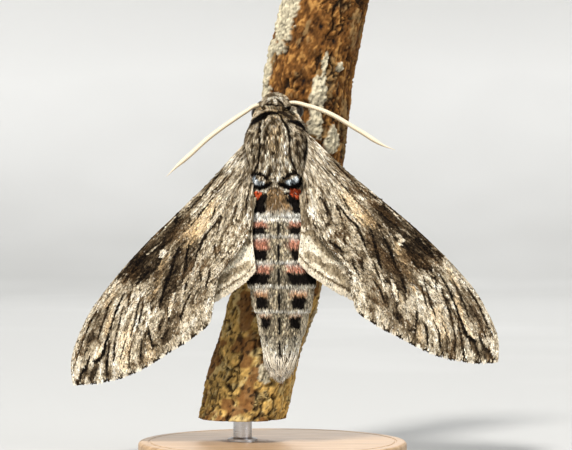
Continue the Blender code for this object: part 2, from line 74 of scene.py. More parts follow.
# Sawn ends of the branch: rings as shares of the rim, and their colours
CUT_RINGS = (0.93, 0.8, 0.62, 0.44, 0.26, 0.1)
CUT_RIM_COLOUR = (0.10, 0.06, 0.035)
CUT_COLOUR = (0.42, 0.28, 0.14)
CUT_HEART_COLOUR = (0.16, 0.09, 0.045)

# Lichen crusts on the bark: angle, height, half width in degrees, half height
LICHENS = (
    (-62.0, 77.0, 26.0, 8.0), (-82.0, 64.0, 20.0, 8.0), (12.0, 60.0, 11.0, 6.0), (16.0, 66.5, 4.0, 4.0),
    (40.0, 54.0, 11.0, 2.5), (38.0, 66.5, 6.0, 1.0), (-20.0, 28.0, 9.0, 3.0), (18.0, 16.0, 10.0, 4.0),
    (150.0, 58.0, 40.0, 12.0), (200.0, 30.0, 30.0, 9.0), (-110.0, 40.0, 26.0, 8.0), (110.0, 24.0, 20.0, 6.0),
)

# Heights at which the thorax's form gives way to the abdomen's, and its colours do
WAIST = 44.35
FRONT_FROM = 44.9

# Body stations: height, side offset, depth of the middle, half width, half depth
THORAX_STATIONS = (
    (59.2, 0.56, -14.6, 3.05, 2.95),
    (58.6, 0.57, -14.5, 3.55, 3.4),
    (57.6, 0.58, -14.4, 4.05, 4.1),
    (56.5, 0.60, -14.3, 4.50, 4.7),
    (54.8, 0.62, -14.2, 5.15, 5.1),
    (52.9, 0.63, -14.2, 5.40, 5.2),
    (50.7, 0.66, -14.1, 5.30, 5.2),
    (48.2, 0.72, -13.9, 5.00, 5.0),
    (46.1, 0.78, -13.7, 4.70, 4.8),
    (44.5, 0.82, -13.6, 4.45, 4.5),
)
ABDOMEN_STATIONS = (
    (44.2, 0.82, -13.6, 4.45, 4.50),
    (42.1, 0.87, -13.5, 4.85, 4.70),
    (38.2, 1.12, -13.4, 5.40, 4.90),
    (33.9, 1.38, -13.2, 5.80, 5.00),
    (31.2, 1.55, -13.0, 5.85, 5.00),
    (27.1, 1.75, -12.5, 5.05, 4.50),
    (23.5, 1.72, -11.9, 4.20, 3.85),
    (20.0, 1.50, -11.1, 3.35, 3.05),
    (17.0, 1.38, -10.4, 2.25, 2.10),
    (14.6, 1.30, -9.8, 0.75, 0.65),
)
SEGMENT_EDGES = (44.2, 41.6, 38.2, 33.9, 29.9, 25.8, 21.9, 18.6, 14.6)
SEGMENT_STEP = 0.022
LOBE_ANGLE = 47.0
LOBE_HEIGHT = 0.5
TONGUE_HEIGHT = 0.3
REAR_TUFT_ANGLE = 33.0
REAR_TUFT_HEIGHT = 0.45

# Head
HEAD_CENTRE = (0.55, -13.0, 59.2)
HEAD_HALF = (2.75, 2.9, 2.6)
HEAD_TURN = 5.0
EYE_OFFSET = (2.8, 0.8, -0.5)
EYE_HALF = (1.55, 1.5, 1.65)
EYE_SHIFT = 0.3
PALP_POINTS = ((0.75, 2.2, -1.6), (0.95, 3.2, -0.2), (0.85, 2.9, 1.2), (0.6, 1.7, 2.45))
PALP_RADII = (0.45, 0.62, 0.6, 0.3)
TONGUE_COIL_CENTRE = (0.0, 3.45, -2.3)
COIL_INNER = 0.45
COIL_PITCH = 0.72
COIL_TURNS = 1.7
COIL_THICKNESS = 0.5
ANTENNA_THICKNESS = 0.74
ANTENNAE = {
    "left": (
        (-1.2, -14.0, 59.75), (-2.5, -14.0, 59.75), (-4.4, -14.0, 58.65), (-6.6, -14.1, 57.2),
        (-10.7, -14.2, 54.15), (-13.6, -14.2, 51.5), (-16.0, -14.1, 49.4), (-17.4, -14.0, 48.0),
    ),
    "right": (
        (2.2, -14.0, 60.1), (3.7, -14.0, 60.2), (5.8, -14.0, 59.7), (8.8, -14.1, 58.7),
        (14.3, -14.2, 55.6), (18.9, -14.2, 52.9), (20.3, -14.1, 52.4),
    ),
}

# Wings
HINGE = {"left": (-5.06, -16.8, 52.77), "right": (6.57, -16.8, 54.24)}
SPREAD = {"left": 35.3, "right": 39.7}
SIDE = {"left": -1, "right": 1}
ROOF_TILT = 25.0
DROOP = 12.0
MEMBRANE = 0.52
WING_STACK = 1.25
WING_REST = 0.1
FORE_EDGES = (
    ((-2.6, 0.4), (0.0, 0.0), (7.3, -0.9), (15.0, -2.4), (24.0, -4.3),
     (32.6, -5.4), (41.0, -5.4), (47.7, -3.2), (50.4, -0.3)),
    ((50.4, -0.3), (47.4, 3.1), (41.0, 8.0), (34.3, 10.9), (28.6, 12.95), (25.8, 13.5), (23.3, 12.4)),
    ((-1.2, 4.4), (3.4, 5.9), (7.0, 8.7), (11.0, 10.2), (14.8, 10.2), (17.5, 10.0),
     (20.6, 11.1), (23.3, 12.4)),
)
HIND_EDGES = (
    ((-1.0, 2.6), (6.0, 2.3), (14.0, 2.2), (22.0, 3.2), (29.0, 6.6)),
    ((29.0, 6.6), (28.2, 9.4), (25.6, 11.5), (22.3, 12.9), (18.1, 14.1), (15.4, 14.6), (13.2, 14.5)),
    ((1.6, 6.2), (5.0, 7.4), (8.0, 9.6), (10.8, 12.0), (13.2, 14.5)),
)

# Veins: share of the way across at the root and at the outer edge, then start and end of the ridge
FORE_VEINS = (
    (0.08, 0.010, 0.00, 0.80), (0.18, 0.035, 0.00, 0.93), (0.29, 0.090, 0.00, 1.00),
    (0.37, 0.210, 0.40, 1.00), (0.43, 0.350, 0.42, 1.00), (0.49, 0.500, 0.42, 1.00),
    (0.56, 0.650, 0.00, 1.00), (0.63, 0.800, 0.24, 1.00), (0.80, 0.950, 0.00, 1.00),
)
HIND_VEINS = (
    (0.12, 0.05, 0.00, 0.95), (0.26, 0.19, 0.00, 1.00), (0.36, 0.33, 0.38, 1.00),
    (0.46, 0.47, 0.38, 1.00), (0.56, 0.61, 0.00, 1.00), (0.66, 0.75, 0.22, 1.00),
    (0.82, 0.90, 0.00, 1.00),
)

# Each kind of wing: edges, veins, turn about the hinge on each side, columns and rows of the skin
WINGS = {
    "forewing": {"edges": FORE_EDGES, "veins": FORE_VEINS, "turn": {"left": 0.0, "right": 0.0},
                 "grid": (260, 84), "size": (50.0, 14.0), "jitter": 0.5, "slot": "forewing_scales"},
    "hindwing": {"edges": HIND_EDGES, "veins": HIND_VEINS, "turn": {"left": -4.0, "right": 0.0},
                 "grid": (130, 56), "size": (29.0, 10.0), "jitter": 0.28, "slot": "hindwing_scales"},
}
WING_SINK = 1.2
WING_DIP = 1.5
SKIN_HALF = 0.12
SKIN_END = 0.984
RIDGE_HEIGHT = 0.16
RIDGE_WIDTH = 0.3
WING_SEED = {"left": 100, "right": 400}
SCALES_UP = {"forewing": 32000, "hindwing": 13000}
SCALES_UNDER = {"forewing": 9000, "hindwing": 6000}
FRINGE_VANES = {"forewing": 1500, "hindwing": 900}

# A scale shows the mark that lies this far ahead of its root
SHOWN_AHEAD = 0.225

# Tones of the wings and body from black to nearly white
TONE_PLACES = (0.0, 0.2, 0.4, 0.6, 0.8, 1.0)
TONE_COLOURS = (
    (0.003, 0.002, 0.0015), (0.030, 0.019, 0.010), (0.145, 0.104, 0.060),
    (0.355, 0.290, 0.194), (0.600, 0.515, 0.385), (0.830, 0.765, 0.640),
)
OCHRE = (0.62, 0.43, 0.22)
BROWN = (0.17, 0.095, 0.040)

# Forewing marks in its own plane, (along, across) from the hinge: tone, half width, line
FORE_LINES = (
    (0.01, 0.20, ((31.5, -1.9), (33.4, -1.7), (35.0, -1.4), (38.0, -0.3), (40.5, 0.6), (42.5, 1.1), (44.0, 0.6))),
    (0.00, 0.30, ((40.4, 0.7), (42.6, 1.2), (43.9, 0.9), (44.4, 0.2))),
    (0.00, 0.28, ((44.2, -0.8), (45.3, -0.5), (46.4, -0.1), (47.3, -0.45), (48.6, -0.05), (50.0, -0.2))),
    (0.03, 0.24, ((39.5, 0.9), (41.5, 1.9), (43.2, 2.8), (45.0, 4.0))),
    (0.04, 0.18, ((37.2, 0.8), (39.6, 2.2), (41.8, 3.6))),
    (0.00, 0.24, ((20.5, 2.3), (22.6, 2.8), (24.2, 3.4), (26.6, 4.0), (28.4, 4.7), (29.3, 5.1))),
    (0.00, 0.24, ((17.5, 3.2), (19.0, 4.0), (21.0, 4.9), (23.4, 5.8))),
    (0.04, 0.15, ((18.6, 1.7), (20.4, 2.2), (22.5, 2.4))),
    (0.02, 0.16, ((10.2, 4.9), (13.0, 4.8), (15.2, 4.7), (17.2, 5.2), (19.0, 5.9), (21.4, 6.7))),
    (0.08, 0.11, ((3.8, 1.8), (7.0, 1.5), (11.0, 1.6), (15.2, 1.4))),
    (0.10, 0.10, ((9.6, 3.0), (11.2, 3.6), (12.8, 4.4))),
    (0.06, 0.14, ((9.9, 5.1), (11.4, 5.6), (12.8, 6.3))),
    (0.08, 0.13, ((14.4, 7.0), (15.2, 7.8), (16.2, 8.4))),
    (0.08, 0.13, ((6.8, 6.0), (8.6, 6.6), (10.4, 7.6))),
    (0.05, 0.15, ((19.6, 7.2), (20.5, 7.9), (21.6, 8.6))),
    (0.07, 0.13, ((18.2, 8.6), (19.8, 9.2), (21.6, 9.7))),
    (0.03, 0.15, ((23.8, 8.2), (26.0, 8.4), (28.6, 9.2))),
    (0.05, 0.14, ((21.8, 6.3), (23.6, 6.9), (25.6, 7.4))),
    (0.04, 0.18, ((28.4, 6.2), (29.4, 7.4), (30.2, 8.3))),
    (0.03, 0.20, ((32.8, 5.4), (33.9, 6.4), (35.0, 8.0), (34.2, 9.0))),
    (0.06, 0.16, ((35.6, 5.8), (37.2, 6.6), (38.4, 7.8))),
    (0.07, 0.13, ((29.6, 0.8), (32.0, 1.9), (34.0, 2.9), (36.2, 3.6))),
    (0.07, 0.13, ((30.0, 1.9), (32.0, 2.8), (34.4, 3.8))),
    (0.09, 0.12, ((33.4, -0.6), (35.8, 0.4), (38.0, 1.4), (40.4, 2.6))),
    (0.09, 0.11, ((35.2, 2.2), (38.2, 3.6), (41.2, 4.6))),
    (0.07, 0.13, ((36.4, 4.4), (38.6, 5.2), (40.8, 6.6))),
    (0.06, 0.12, ((29.8, -1.6), (31.6, -0.6), (33.4, 0.4))),
    (0.04, 0.15, ((22.4, -2.0), (25.0, -2.7), (28.6, -3.3))),
    (0.04, 0.16, ((33.6, -3.4), (36.0, -2.9), (38.6, -2.1), (41.0, -1.3))),
    (0.06, 0.13, ((36.2, -4.6), (40.0, -4.4), (44.0, -3.5), (47.0, -2.6))),
    (0.07, 0.12, ((43.0, -2.0), (45.0, -1.8), (47.2, -1.4))),
    (0.07, 0.12, ((5.0, -0.2), (8.0, -0.3), (11.0, -0.4), (14.0, -0.8))),
    (0.07, 0.12, ((20.0, -3.5), (24.0, -4.1), (28.0, -4.9))),
    (0.74, 0.08, ((16.2, -2.3), (19.0, -2.55), (21.0, -2.8))),
    (0.68, 0.07, ((20.6, -1.6), (22.4, -2.1), (24.0, -2.5))),
    (0.66, 0.07, ((18.6, 0.5), (20.0, 0.7), (22.0, 1.2))),
    (0.70, 0.09, ((29.4, -2.8), (30.2, -1.8), (30.6, -1.1))),
    (0.70, 0.09, ((31.2, -2.6), (32.0, -2.2), (33.0, -2.2))),
    (0.92, 0.22, ((30.0, 3.0), (31.6, 4.1), (33.6, 5.3))),
    (0.94, 0.28, ((25.8, 5.8), (27.4, 6.3), (29.3, 7.3))),
    (0.84, 0.15, ((23.4, 6.5), (24.8, 7.0), (26.2, 7.8))),
    (0.82, 0.16, ((18.0, 5.8), (20.4, 6.4), (22.4, 7.3))),
    (0.84, 0.20, ((9.6, 4.2), (12.0, 4.3), (14.4, 4.4))),
    (0.84, 0.16, ((5.0, 2.3), (9.0, 2.4), (13.0, 2.9))),
    (0.92, 0.26, ((39.0, -0.6), (41.4, 0.2), (43.6, 0.3))),
    (0.88, 0.26, ((45.6, -1.9), (47.4, -1.4), (48.9, -0.9))),
    (0.86, 0.18, ((31.0, -4.6), (34.0, -4.7), (37.4, -4.3))),
    (0.84, 0.14, ((33.0, -2.6), (35.2, -2.3), (37.6, -1.3))),
    (0.82, 0.16, ((31.6, 1.2), (34.0, 2.2), (37.4, 3.2))),
    (0.82, 0.14, ((36.2, 7.2), (37.0, 7.9), (36.4, 8.6))),
)

# Forewing patches: tone, strength, centre along and across, half length, half width, turn in degrees
FORE_PATCHES = (
    (0.22, 0.85, 18.4, -1.2, 4.0, 2.0, -6), (0.20, 0.92, 25.2, -2.0, 5.2, 3.0, -6),
    (0.36, 0.70, 24.2, 1.7, 6.2, 1.7, 14), (0.40, 0.70, 18.6, 2.6, 4.6, 2.4, 14),
    (0.42, 0.60, 26.6, 7.4, 6.6, 1.5, 20), (0.40, 0.50, 40.8, -2.8, 4.6, 1.5, 12),
    (0.40, 0.50, 34.0, 8.0, 3.8, 1.4, 34), (0.44, 0.45, 8.0, -0.7, 6.0, 0.9, -6),
    (0.30, 0.50, 5.0, -0.2, 4.0, 0.6, -6), (0.72, 0.50, 9.0, 3.3, 5.5, 1.5, 2),
    (0.62, 0.45, 6.0, 5.0, 6.0, 1.0, 10), (0.42, 0.45, 16.5, 7.2, 6.5, 1.7, 8),
    (0.26, 0.55, 8.6, -1.2, 1.3, 0.5, -8), (0.26, 0.50, 12.2, -0.4, 1.3, 0.35, -4),
    (0.06, 0.92, 16.1, -1.8, 1.0, 1.3, 20), (0.08, 0.90, 18.9, -2.9, 1.2, 0.6, -10),
    (0.08, 0.92, 19.2, -0.9, 3.2, 0.9, 4), (0.12, 0.85, 22.6, -1.9, 3.0, 0.6, -14),
    (0.04, 0.92, 26.4, -2.8, 3.4, 0.8, -8), (0.05, 0.85, 27.6, -0.9, 2.4, 0.55, -4),
    (0.07, 0.90, 25.2, 0.0, 3.2, 0.6, 6),
    (0.05, 0.92, 26.3, -4.2, 1.4, 0.8, -10), (0.06, 0.92, 29.3, -4.4, 1.4, 0.8, -8),
    (0.19, 0.92, 24.0, 4.2, 6.4, 1.45, 16), (0.22, 0.80, 18.6, 4.6, 2.6, 1.1, 24),
    (0.72, 0.55, 33.2, -4.0, 2.6, 0.9, -4), (0.75, 0.82, 36.4, 2.8, 6.6, 2.9, 22),
    (0.74, 0.55, 41.6, 5.4, 3.6, 1.7, 40), (0.72, 0.60, 33.0, 6.6, 3.0, 1.2, 24),
    (0.62, 0.50, 27.0, 11.0, 4.4, 1.6, 8), (0.48, 0.50, 24.5, 8.2, 4.4, 1.4, 14),
    (0.14, 0.85, 31.6, 8.9, 1.7, 0.65, 10), (0.18, 0.75, 28.2, 7.9, 1.5, 0.35, 24),
    (0.22, 0.60, 36.3, 7.6, 2.0, 1.7, 30), (0.62, 0.85, 36.4, 7.6, 1.15, 0.85, 30),
    (0.16, 0.85, 41.4, -2.6, 1.9, 0.75, 14), (0.14, 0.70, 45.8, -2.5, 0.8, 0.4, 10),
    (0.22, 0.65, 37.4, -3.7, 1.5, 0.6, 20), (0.24, 0.60, 36.6, -2.5, 0.8, 0.4, 10),
    (0.30, 0.50, 33.4, -2.9, 1.4, 0.6, 16), (0.06, 0.85, 45.2, 1.4, 1.9, 0.55, 20),
    (0.16, 0.60, 47.4, 0.6, 1.7, 0.5, 16), (0.30, 0.50, 43.4, 3.0, 2.2, 0.7, 44),
    (0.84, 0.70, 47.6, -1.7, 1.6, 0.75, 26), (0.94, 0.98, 22.3, -0.1, 0.75, 0.50, -46),
    (0.94, 0.90, 3.0, 0.5, 1.5, 0.8, 20), (0.94, 0.95, 7.8, 9.2, 1.1, 0.42, 50),
)
FORE_OCHRE = (
    (0.50, 13.0, 3.0, 3.8, 1.1, 8), (0.60, 25.6, 1.9, 3.8, 0.7, 18), (0.55, 16.6, 2.3, 2.0, 1.2, 20),
    (0.50, 38.6, -0.8, 3.4, 0.6, 22), (0.45, 41.8, 0.1, 2.2, 0.5, 14), (0.35, 34.0, -3.6, 2.0, 0.6, 12),
    (0.35, 35.8, 8.0, 2.0, 1.0, 30), (0.30, 28.0, 6.4, 2.2, 0.5, 24), (0.40, 38.0, 4.0, 4.0, 1.2, 28),
)
FRINGE_CHECKS = 12.0

# Dark bands of the hindwing in its own plane: tone, half width, line
HIND_BANDS = (
    (0.50, 1.00, ((3.0, 6.0), (6.5, 8.2), (8.2, 8.9), (12.0, 6.0))),
    (0.34, 0.50, ((8.6, 10.6), (9.6, 9.5), (10.8, 8.2), (13.0, 6.0))),
    (0.36, 0.45, ((10.2, 11.4), (11.2, 10.2), (12.6, 9.4), (15.0, 8.2))),
    (0.50, 0.75, ((12.0, 10.3), (14.4, 10.4), (16.2, 9.9), (20.0, 8.4), (24.0, 6.0))),
    (0.48, 0.60, ((13.6, 13.2), (15.0, 12.5), (16.6, 12.1), (19.0, 11.4), (21.6, 11.2), (25.0, 9.0),
                  (27.0, 7.0))),
)

# How much wing is left off beside the body: share out, reach of that, and the part left off
INNER_TRIM = {"forewing": (0.30, 0.24, 0.085), "hindwing": (0.32, 0.32, 0.06)}

# Marks of the back seen along +Y: tone, half width, line of (side, height)
THORAX_LINES = (
    (0.05, 0.17, ((-2.5, 58.7), (-1.9, 59.6), (-1.2, 60.4), (-0.3, 61.0))),
    (0.06, 0.17, ((0.9, 60.4), (1.7, 59.8), (2.6, 59.2), (3.3, 58.4))),
    (0.08, 0.14, ((-1.6, 59.3), (-0.8, 60.1), (-0.2, 60.3))),
    (0.90, 0.20, ((-1.0, 59.9), (-0.5, 60.6), (0.6, 60.9), (1.5, 60.6))),
    (0.86, 0.15, ((-3.2, 57.5), (-2.6, 58.7), (-1.9, 59.3))),
    (0.02, 0.25, ((-2.5, 58.7), (-1.2, 59.65), (0.0, 59.65), (1.3, 59.3), (2.6, 58.7), (3.4, 57.9))),
    (0.15, 0.32, ((0.9, 58.5), (1.7, 58.2), (2.5, 57.7), (3.2, 57.2))),
    (0.84, 0.15, ((-3.3, 56.8), (-2.7, 57.5), (-1.8, 58.4), (-0.8, 58.9), (0.3, 58.85))),
    (0.00, 0.42, ((-3.5, 56.2), (-2.3, 57.2), (-1.2, 57.85), (-0.1, 58.2), (1.0, 58.05))),
    (0.84, 0.13, ((-1.1, 57.0), (-0.5, 57.6), (0.2, 57.8), (0.9, 57.6), (1.4, 57.1))),
    (0.02, 0.18, ((-1.0, 57.4), (-1.8, 56.1), (-2.0, 54.8))),
    (0.04, 0.14, ((-2.0, 54.8), (-1.8, 52.9), (-1.9, 51.7), (-2.1, 50.3), (-2.7, 49.0), (-3.2, 48.1))),
    (0.02, 0.18, ((1.3, 57.8), (2.0, 56.5), (2.7, 55.1), (2.85, 53.4))),
    (0.06, 0.13, ((2.85, 53.4), (2.8, 51.9), (3.1, 50.6), (3.6, 49.4), (4.2, 48.1))),
    (0.02, 0.20, ((-3.3, 56.1), (-4.0, 54.8), (-4.25, 53.1), (-4.0, 51.3), (-3.6, 49.1))),
    (0.00, 0.28, ((2.6, 56.9), (3.8, 56.7), (4.5, 56.0), (5.0, 54.9))),
    (0.02, 0.24, ((5.05, 55.0), (5.2, 53.1), (4.9, 50.8))),
    (0.00, 0.24, ((-3.3, 48.0), (-2.9, 48.5), (-1.8, 48.4), (-1.1, 48.0), (-0.6, 47.3))),
    (0.00, 0.52, ((-3.2, 47.8), (-2.95, 46.8), (-1.9, 46.2), (-0.8, 46.35), (-0.1, 46.9))),
    (0.00, 0.24, ((1.7, 47.3), (2.6, 48.2), (3.6, 48.6), (4.3, 48.2))),
    (0.00, 0.55, ((1.1, 46.8), (2.1, 46.3), (3.1, 46.2), (4.2, 46.8), (4.5, 47.8))),
    (0.94, 0.24, ((-2.7, 45.9), (-1.8, 45.5), (-0.95, 45.65), (-0.3, 46.2))),
    (0.94, 0.24, ((1.3, 46.1), (2.0, 45.6), (2.8, 45.7))),
    (0.92, 0.24, ((0.9, 61.2), (1.8, 60.6), (2.5, 59.8), (3.1, 59.1), (3.8, 58.2), (4.5, 57.1), (5.1, 56.0),
                  (5.5, 54.8))),
    (0.84, 0.18, ((-3.9, 57.2), (-4.9, 55.2), (-5.1, 52.9), (-4.5, 50.8), (-4.1, 48.0), (-4.1, 45.7))),
    (0.80, 0.20, ((5.4, 52.6), (5.4, 50.6), (5.3, 48.1), (5.2, 45.7))),
    (0.84, 0.13, ((-1.3, 57.0), (-1.6, 55.4), (-1.5, 53.6))),
    (0.84, 0.13, ((1.7, 56.4), (2.3, 54.8), (2.4, 53.2))),
    (0.42, 0.09, ((0.7, 52.4), (0.9, 50.6), (0.6, 48.4))),
)
THORAX_PATCHES = (
    (0.42, 0.95, -3.4, 52.0, 1.5, 5.0, -6), (0.44, 0.95, 4.3, 52.2, 1.6, 4.8, 6),
    (0.52, 0.80, 0.5, 54.8, 1.9, 3.2, 0), (0.68, 0.80, 0.6, 49.6, 2.4, 2.6, 0),
    (0.72, 0.60, 1.9, 52.0, 0.7, 2.4, 4), (0.78, 0.70, -4.8, 49.0, 0.5, 3.6, 0),
    (0.78, 0.70, 5.4, 48.6, 0.5, 3.4, 0), (0.50, 0.85, 0.6, 58.4, 3.4, 1.0, 0),
    (0.04, 0.95, -1.5, 44.7, 0.9, 1.0, 0), (0.04, 0.95, 2.7, 44.7, 0.9, 1.1, 0),
    (0.40, 0.70, 0.8, 59.7, 2.6, 0.6, 0), (0.74, 0.85, 0.3, 61.0, 1.9, 0.9, 0),
    (0.12, 0.80, 0.0, 60.5, 0.22, 0.7, 10),
)

# Pale blue hairs of the rear tufts, half width and line, and the red patches below them, as ovals
BLUE_TUFTS = (
    (0.22, ((-2.6, 48.05), (-2.6, 47.4), (-2.1, 47.0), (-1.3, 46.9))),
    (0.22, ((2.2, 47.1), (2.95, 47.05), (3.65, 47.4), (3.95, 47.9))),
)
RED_PATCHES = ((-2.45, 44.85, 0.90, 0.60, 35.0), (4.0, 45.15, 1.30, 0.75, -20.0))
BLUE_GREY = (0.40, 0.46, 0.50)
ORANGE_RED = (0.55, 0.085, 0.028)
PINK = (0.50, 0.225, 0.145)
PALE_ORANGE = (0.60, 0.33, 0.17)
BAND_WHITE = (0.96, 0.91, 0.80)
ABDOMEN_GREY = (0.36, 0.30, 0.205)
HAIR_BROWN = (0.26, 0.165, 0.080)
COAT_BLACK = (0.008, 0.006, 0.005)
TIP_CREAM = (0.84, 0.77, 0.62)
BELLY = (0.56, 0.49, 0.37)
MIDLINE = ((14.6, 1.30), (24.0, 1.20), (31.0, 1.12), (44.2, 1.00))

# Abdomen bars: upper and lower height of the coloured part and of the black part, the angle
# from the midline where they start and end, and the colour
ABDOMEN_BARS = (
    (41.3, 39.3, 39.7, 38.35, 27.0, 100.0, PINK),
    (38.1, 35.9, 36.0, 34.15, 23.0, 98.0, PINK),
    (33.8, 32.1, 32.1, 30.15, 18.0, 92.0, PINK),
    (29.6, 27.9, 28.3, 26.15, 27.0, 58.0, PALE_ORANGE),
    (25.7, 24.6, 24.9, 22.9, 27.0, 52.0, PALE_ORANGE),
)

# Coat: number of locks on each region, how deep it is, and how much light it throws back
THORAX_LOCKS = 11500
THORAX_SCALES = 19000
HEAD_LOCKS = 9000
CHEEK_LOCKS = 420
CHEEK_COVER = {"left": 1.0, "right": 0.45}
ABDOMEN_SCALES = 43000
MIDLINE_SCALES = 700
TAIL_LOCKS = 2300
PALP_SCALES = 1400
LEG_SCALES = 2600
BODY_SEED = 5
PALP_SEED = 31
LEG_SEED = 37
COAT_DEPTH = {"thorax": 0.55, "head": 0.45, "abdomen": 0.32}
SKIN_VOXEL = 0.1346
SKIN_HEIGHTS = {"thorax": (59.0, 43.6), "abdomen": (45.0, 14.8)}
COAT_SHINE = 0.06

# Lowest and highest skin under the coat of thorax, head, abdomen and tail brush
COAT_HEIGHTS = ((45.2, 59.6), (59.0, 70.0), (10.0, 45.6), (15.0, 20.0))

# Legs: where the coxa leaves the thorax, the knee, then the angle round the branch and the
# height of the ankle and of the toe
LEG_ROOT_SIDE = 1.7
LEGS = {
    "leg_front_left": ("left", 54.9, (-3.0, -8.6, 57.0), (-54.0, 55.2), (-60.0, 50.6)),
    "leg_front_right": ("right", 54.9, (4.9, -9.3, 56.9), (4.0, 54.6), (14.0, 50.0)),
    "leg_middle_left": ("left", 51.4, (-5.6, -10.6, 50.9), (-58.0, 48.0), (-66.0, 43.0)),
    "leg_middle_right": ("right", 51.4, (8.0, -12.0, 50.3), (34.0, 48.4), (42.0, 43.4)),
    "leg_hind_left": ("left", 47.9, (-6.6, -10.6, 44.0), (-58.0, 41.0), (-66.0, 34.8)),
    "leg_hind_right": ("right", 47.9, (9.2, -12.2, 44.8), (44.0, 42.4), (48.0, 36.6)),
}
COXA_RADIUS = 0.95
THIGH_RADIUS = 0.75
KNEE_RADIUS = 0.5
SHIN_RADIUS = 0.58
ANKLE_RADIUS = 0.38
TOE_RADIUS = 0.28

# Colours of feelers below, browned as painted shadow, and above, then of tongue and claws
FEELER_SHADED_AND_LIT_COLOURS = ((0.50, 0.37, 0.23), (0.76, 0.65, 0.47))
TONGUE_BROWN = (0.13, 0.060, 0.025)
CLAW_BROWN = (0.05, 0.028, 0.015)

# Fineness: columns and rows of balls, rings along each form, and sides round it
HEAD_GRID = (48, 32)
EYE_GRID = (64, 40)
RINGS = {"thorax": 60, "abdomen": 260, "antenna": 420, "palp": 30, "tongue": 260, "leg": 90, "claw": 8}
SIDES = {"body": 64, "antenna": 14, "palp": 18, "tongue": 12, "leg": 14, "claw": 6, "base": 160, "rod": 64,
         "floor": 96}


# Curves and profiles

def rows(*columns):
    """Rows made of columns, where a single number fills its column."""
    return np.stack(np.broadcast_arrays(*columns), -1)


def unit(vectors):
    return vectors / np.maximum(np.linalg.norm(vectors, axis=-1, keepdims=True), 1e-9)


def smooth_at(places, values, where):
    """Values of a smooth curve through (place, value) rows, places rising."""
    places, values, where = (np.asarray(numbers, float) for numbers in (places, values, where))
    slopes = np.gradient(values, places, axis=0)
    low = np.clip(np.searchsorted(places, where) - 1, 0, len(places) - 2)
    span = places[low + 1] - places[low]
    share = (where - places[low]) / span
    if values.ndim > 1:
        span, share = span[..., None], share[..., None]
    s2, s3 = share * share, share ** 3
    return ((2 * s3 - 3 * s2 + 1) * values[low] + (s3 - 2 * s2 + share) * (slopes[low] * span)
            + (3 * s2 - 2 * s3) * values[low + 1] + (s3 - s2) * (slopes[low + 1] * span))


def distances(points):
    """How far along a line of points each of them lies."""
    return np.concatenate([[0.0], np.cumsum(np.linalg.norm(np.diff(points, axis=0), axis=1))])


def along(points, share):
    """Points a share of the way along a smooth line through the points."""
    places = distances(points)
    return smooth_at(places, points, np.asarray(share, float) * places[-1])


def station(stations, height):
    """Side offset, depth, half width and half depth of the body at each height."""
    table = np.array(sorted(stations))
    height = np.clip(height, table[0, 0], table[-1, 0])
    return np.moveaxis(smooth_at(table[:, 0], table[:, 1:], height), -1, 0)


def bump(value, centre, width):
    """A smooth hill of height 1."""
    return np.exp(-(((value - centre) / width) ** 2))


def step_up(value, low, high):
    """Rise smoothly from 0 to 1 between low and high."""
    share = np.clip((value - low) / (high - low), 0.0, 1.0)
    return share * share * (3 - 2 * share)


def step_down(value, low, high):
    """Fall smoothly from 1 to 0 between low and high."""
    return 1 - step_up(value, low, high)


def between(value, low, low_end, high, high_end):
    """1 from low_end to high, and 0 below low and above high_end."""
    return step_up(value, low, low_end) * step_down(value, high, high_end)


def blend(number, target, share):
    return number + (target - number) * share


def mix(first, second, share):
    """Blend rows of colours by a share for each row."""
    return blend(np.asarray(first), np.asarray(second), np.asarray(share)[..., None])


def shaded(colour, factor):
    """One colour made darker or lighter by a factor for each row."""
    return np.multiply.outer(factor, colour)


# Repeatable noise

def lattice(cells, seed):
    """A fixed random value from 0 to 1 for each whole-number cell."""
    word = np.uint64
    cells = cells.astype(np.int64).astype(word)
    mixed = (cells[..., 0] * word(73856093)) ^ (cells[..., 1] * word(19349663))
    mixed = (mixed ^ (cells[..., 2] * word(83492791)) ^ word(seed * 2654435761)) & word(0xFFFFFFFF)
    for shift, factor in ((15, 2246822519), (13, 3266489917)):
        mixed = ((mixed ^ (mixed >> word(shift))) * word(factor)) & word(0xFFFFFFFF)
    return ((mixed ^ (mixed >> word(16))) & word(0xFFFFFF)) / float(0xFFFFFF)


def noise(places, seed):
    """Smooth noise from -1 to 1 at rows of two or three coordinates."""
    places = np.asarray(places, float)
    if places.shape[-1] == 2:
        places = rows(places[..., 0], places[..., 1], 0.0)
    cell = np.floor(places)
    part = places - cell
    part = part * part * (3 - 2 * part)
    total = 0.0
    for corner in range(8):
        step = np.array([corner & 1, corner >> 1 & 1, corner >> 2 & 1])
        total = total + np.prod(np.where(step, part, 1 - part), axis=-1) * lattice(cell + step, seed)
    return total * 2 - 1


def fbm(places, seed, octaves=4):
    """Several octaves of noise, about -1 to 1."""
    sizes = [0.5 ** octave for octave in range(octaves)]
    total = sum(noise(places / size, seed + octave) * size for octave, size in enumerate(sizes))
    return total / sum(sizes) * 1.5


# Marks

def line_share(a, b, points, half_width, soft=0.12):
    """How much of a tapered line covers each place: 1 on it and 0 off it."""
    points = np.asarray(points, float)
    ends = distances(points) / distances(points)[-1]
    nearest = np.full(np.shape(a), 1e9)
    where = np.zeros(np.shape(a))
    for k, (start, stop) in enumerate(zip(points, points[1:])):
        run = stop - start
        share = np.clip(((a - start[0]) * run[0] + (b - start[1]) * run[1]) / (run @ run), 0, 1)
        away = np.hypot(a - start[0] - share * run[0], b - start[1] - share * run[1])
        closer = away < nearest
        nearest = np.where(closer, away, nearest)
        where = np.where(closer, blend(ends[k], ends[k + 1], share), where)
    width = half_width * (1 - 0.7 * np.abs(2 * where - 1) ** 3)
    return step_down(nearest, width - soft / 2, width + soft)


